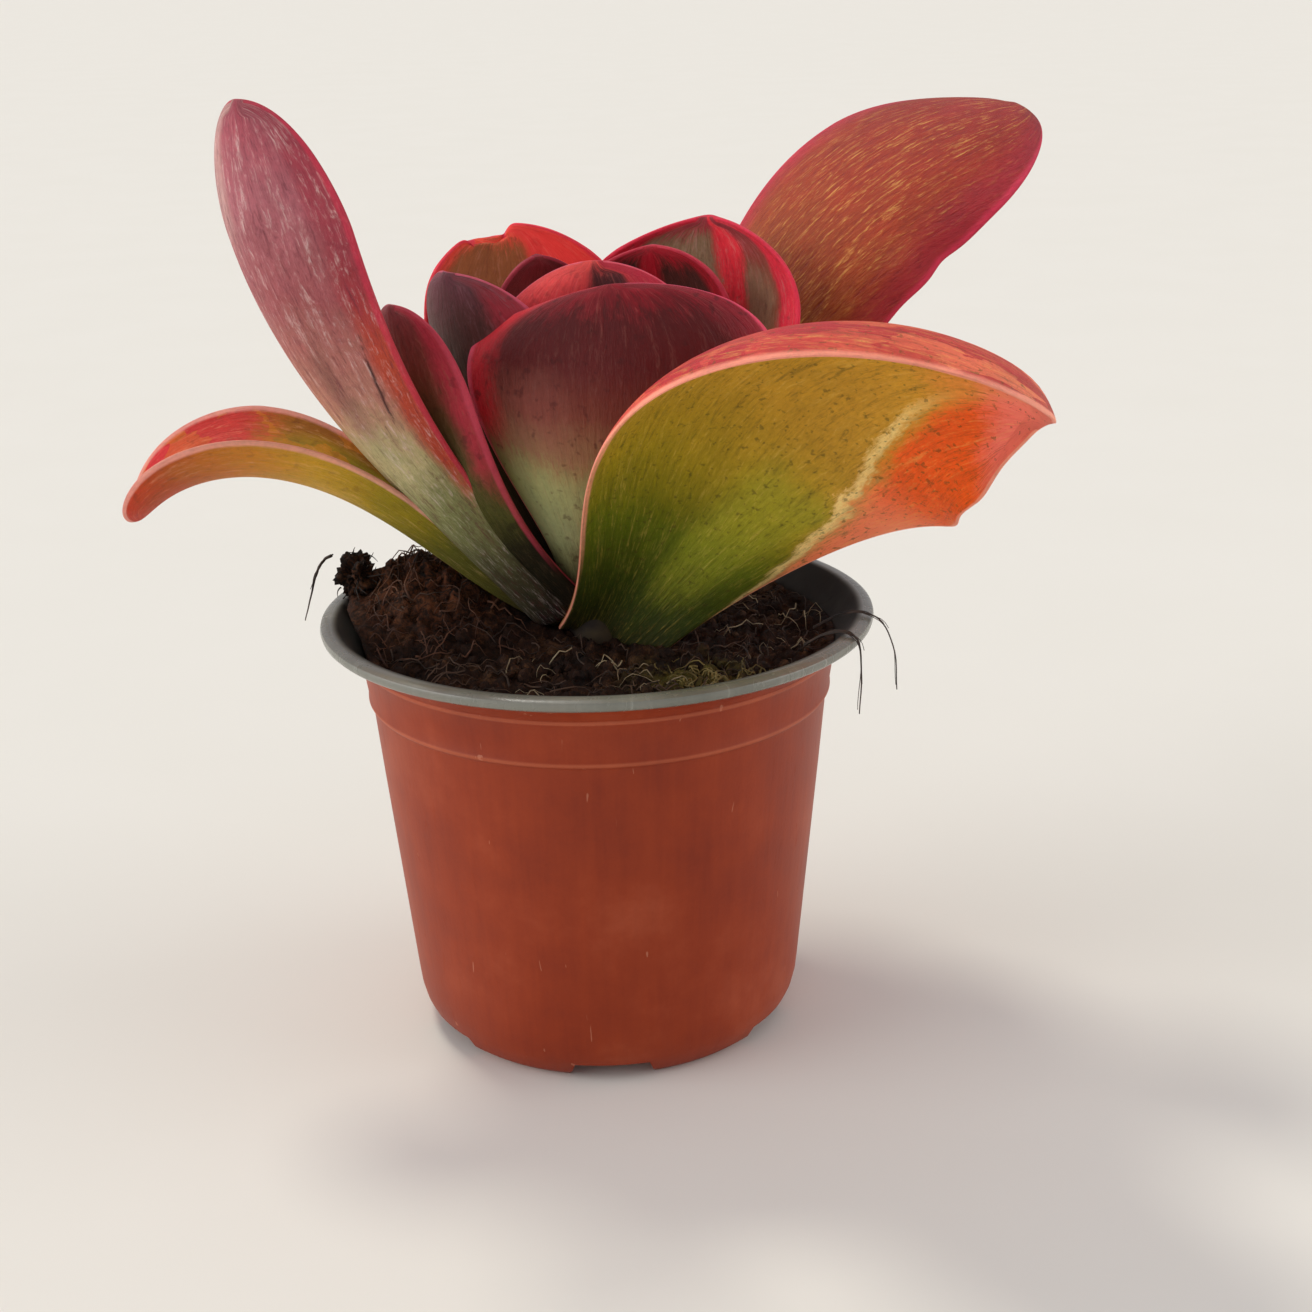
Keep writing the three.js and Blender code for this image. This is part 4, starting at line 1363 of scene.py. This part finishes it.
# %% Striped leaf at the back right
add_leaf(
    "leaf_back_right", "leaf_crimson",
    azimuth=29, sway=12, rise=(67, 62, 113), length=83, width=65, widest=0.7, neck=0.3, blunt=2.3,
    out=5.1, lift=11.8, twist=(3, 11), cup=36,
    look=dict(
        upper=[(0, "4a4a20"), (0.4, "6a5a34"), (0.75, "8a5a44"), (0.88, "84483a"), (1, "90303a")],
        upper_touches=[
            touch("b82c3c", (0.6, END), (0.72, END), soft=(0.04, 0.08)),
            touch("7c6850", (0.6, 0.955), (-0.05, 0.74), soft=(0.03, 0.08)),
            touch("d23a44", (0.6, END), (-0.34, -0.08), soft=(0.06, 0.07)),
            touch("8c7058", (0.5, 0.86), (-0.62, -0.36), soft=(0.04, 0.06)),
            touch("d03a48", (0.5, END), (-END, -0.72), soft=(0.06, 0.06)),
        ],
        lower=[(0, "4a4a28"), (0.5, "8a7a44"), (0.8, "a04a40"), (1, "a83844")],
        edge="d03c50", pale="b89488", dark="4c1c1a", pale_amount=0.35, dark_amount=0.4,
        speck_amount=0.3, bright=1.45,
    ),
)

# %% Coral leaf
add_leaf(
    "leaf_coral_centre", "leaf_coral",
    azimuth=-82, sway=-7, rise=(86, 79, 100), length=66, width=53, widest=0.62, neck=0.33,
    blunt=1.8, out=4, lift=17.4, twist=(-1, -10), cup=49,
    look=dict(
        upper=[(0, "5a6030"), (0.5, "8a6a40"), (1, "b04048")],
        lower=[(0, "4a4a20"), (0.5, "a84a3c"), (0.8, "d04048"), (1, "dc5450")],
        lower_touches=[
            touch("4e1c1e", (0.8, 0.97), (-0.05, 0.45), soft=(0.04, 0.08)),
            touch("b02c3c", (0.8, END), (0.5, END), soft=(0.04, 0.1)),
        ],
        bright=1.2, edge="d86070", pale="d87868", dark="5c1418", pale_amount=0.3, dark_amount=0.2,
        speck_amount=0.2,
    ),
)

# %% Inner leaf at the right
add_leaf(
    "leaf_inner_right", "leaf_crimson",
    azimuth=35, sway=8, rise=(57, 79, 107), length=74, width=44, widest=0.74, neck=0.34, blunt=2.4,
    out=4.5, lift=11.8, twist=(4, 23), cup=36,
    look=dict(
        upper=[(0, "4a4a20"), (0.5, "6a4430"), (0.85, "9a2028"), (1, "a82430")],
        upper_touches=[
            touch("3a1a12", (0.7, 0.96), (0.2, 0.9), soft=(0.04, 0.08)),
            touch("46201a", (0.7, 0.95), (-0.75, -0.1), soft=(0.04, 0.08)),
        ],
        lower=[(0, "4a4a28"), (0.5, "7a6a40"), (1, "903840")],
        bright=1.3, edge="c04050", pale="94504a", dark="240c0a", pale_amount=0.25, dark_amount=0.4,
        speck_amount=0.3,
    ),
)

# %% Inner dark leaf
add_leaf(
    "leaf_inner_dark", "leaf_maroon",
    azimuth=134, sway=-10, rise=(67, 78, 113), length=65, width=31, widest=0.71, neck=0.31,
    blunt=2.4, out=5.8, lift=18.3, twist=(-1, -2), cup=44,
    look=dict(
        upper=[(0, "4a4a20"), (0.5, "5a3a28"), (0.85, "6c2824"), (1, "80262c")],
        lower=[(0, "4a4a28"), (0.5, "6a5a3a"), (1, "803038")],
        edge="a83444", pale="8a4038", dark="240c0a", pale_amount=0.25, dark_amount=0.3,
        speck_amount=0.25,
    ),
)
print("entries:", len(leaves))

# %% [markdown]
# Three plain sage leaves stand low at the back, and three small ones close the crown. They share one
# look, and the crown's are the same leaf turned by a third of a circle.

# %% Leaves that stand low at the back, and the crown
sage = dict(
    upper=[(0, "5a6438"), (0.35, "6e7840"), (0.65, "7c7a44"), (0.85, "946048"), (1, "a04848")],
    lower=[(0, "5a6440"), (0.4, "808a5c"), (0.7, "8c8458"), (0.88, "9c6858"), (1, "a0505a")],
    edge="c05860", pale="a8ae84", dark="4a4420", pale_amount=0.4, dark_amount=0.25,
    speck_amount=0.25,
)
low = dict(cup=25, twist=(0, 0), blunt=2.3, widest=0.7, out=6, sway=4)
add_leaf("leaf_low_back", "leaf_sage", sage, **low, azimuth=84, rise=(48, 36, 8), length=99,
         width=60, neck=0.36, lift=4)
add_leaf("leaf_low_back_right", "leaf_sage", sage, **low, azimuth=40, rise=(38, 28, 5), length=80,
         width=44, neck=0.4, lift=2)
add_leaf("leaf_low_back_left", "leaf_sage", sage, **low, azimuth=140, rise=(45, 38, 20), length=72,
         width=42, neck=0.4, lift=6)
for i in range(3):
    add_leaf(
        f"leaf_crown_{i + 1}", "leaf_sage", sage, azimuth=20 + 120 * i, sway=0, rise=(84, 82, 100),
        length=28, width=15, widest=0.62, neck=0.5, blunt=2.2, out=3.2, twist=(0, 0),
        lift=stem_top - soil_level + 0.7, cup=40, grid=(6, 8, 4),
    )
print(len(leaves), "leaves")

# %% [markdown]
# The entries grow one by one. The size printed beside each is that of the same leaf in the frame, so
# a slip in a number shows at once.

# %% Grow the leaves
for leaf in leaves:
    piece = make_leaf(leaf, *leaf["grid"])
    piece.data.materials.append(leaf_skin(leaf))
    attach(piece, "root")
    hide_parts(leaf["name"])
    low_corner, high_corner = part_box(leaf["name"])
    frame_size = [round(a / MM) for a in high_corner - low_corner]
    print(leaf["name"], [round(a / MM) for a in piece.dimensions], "frame", frame_size)
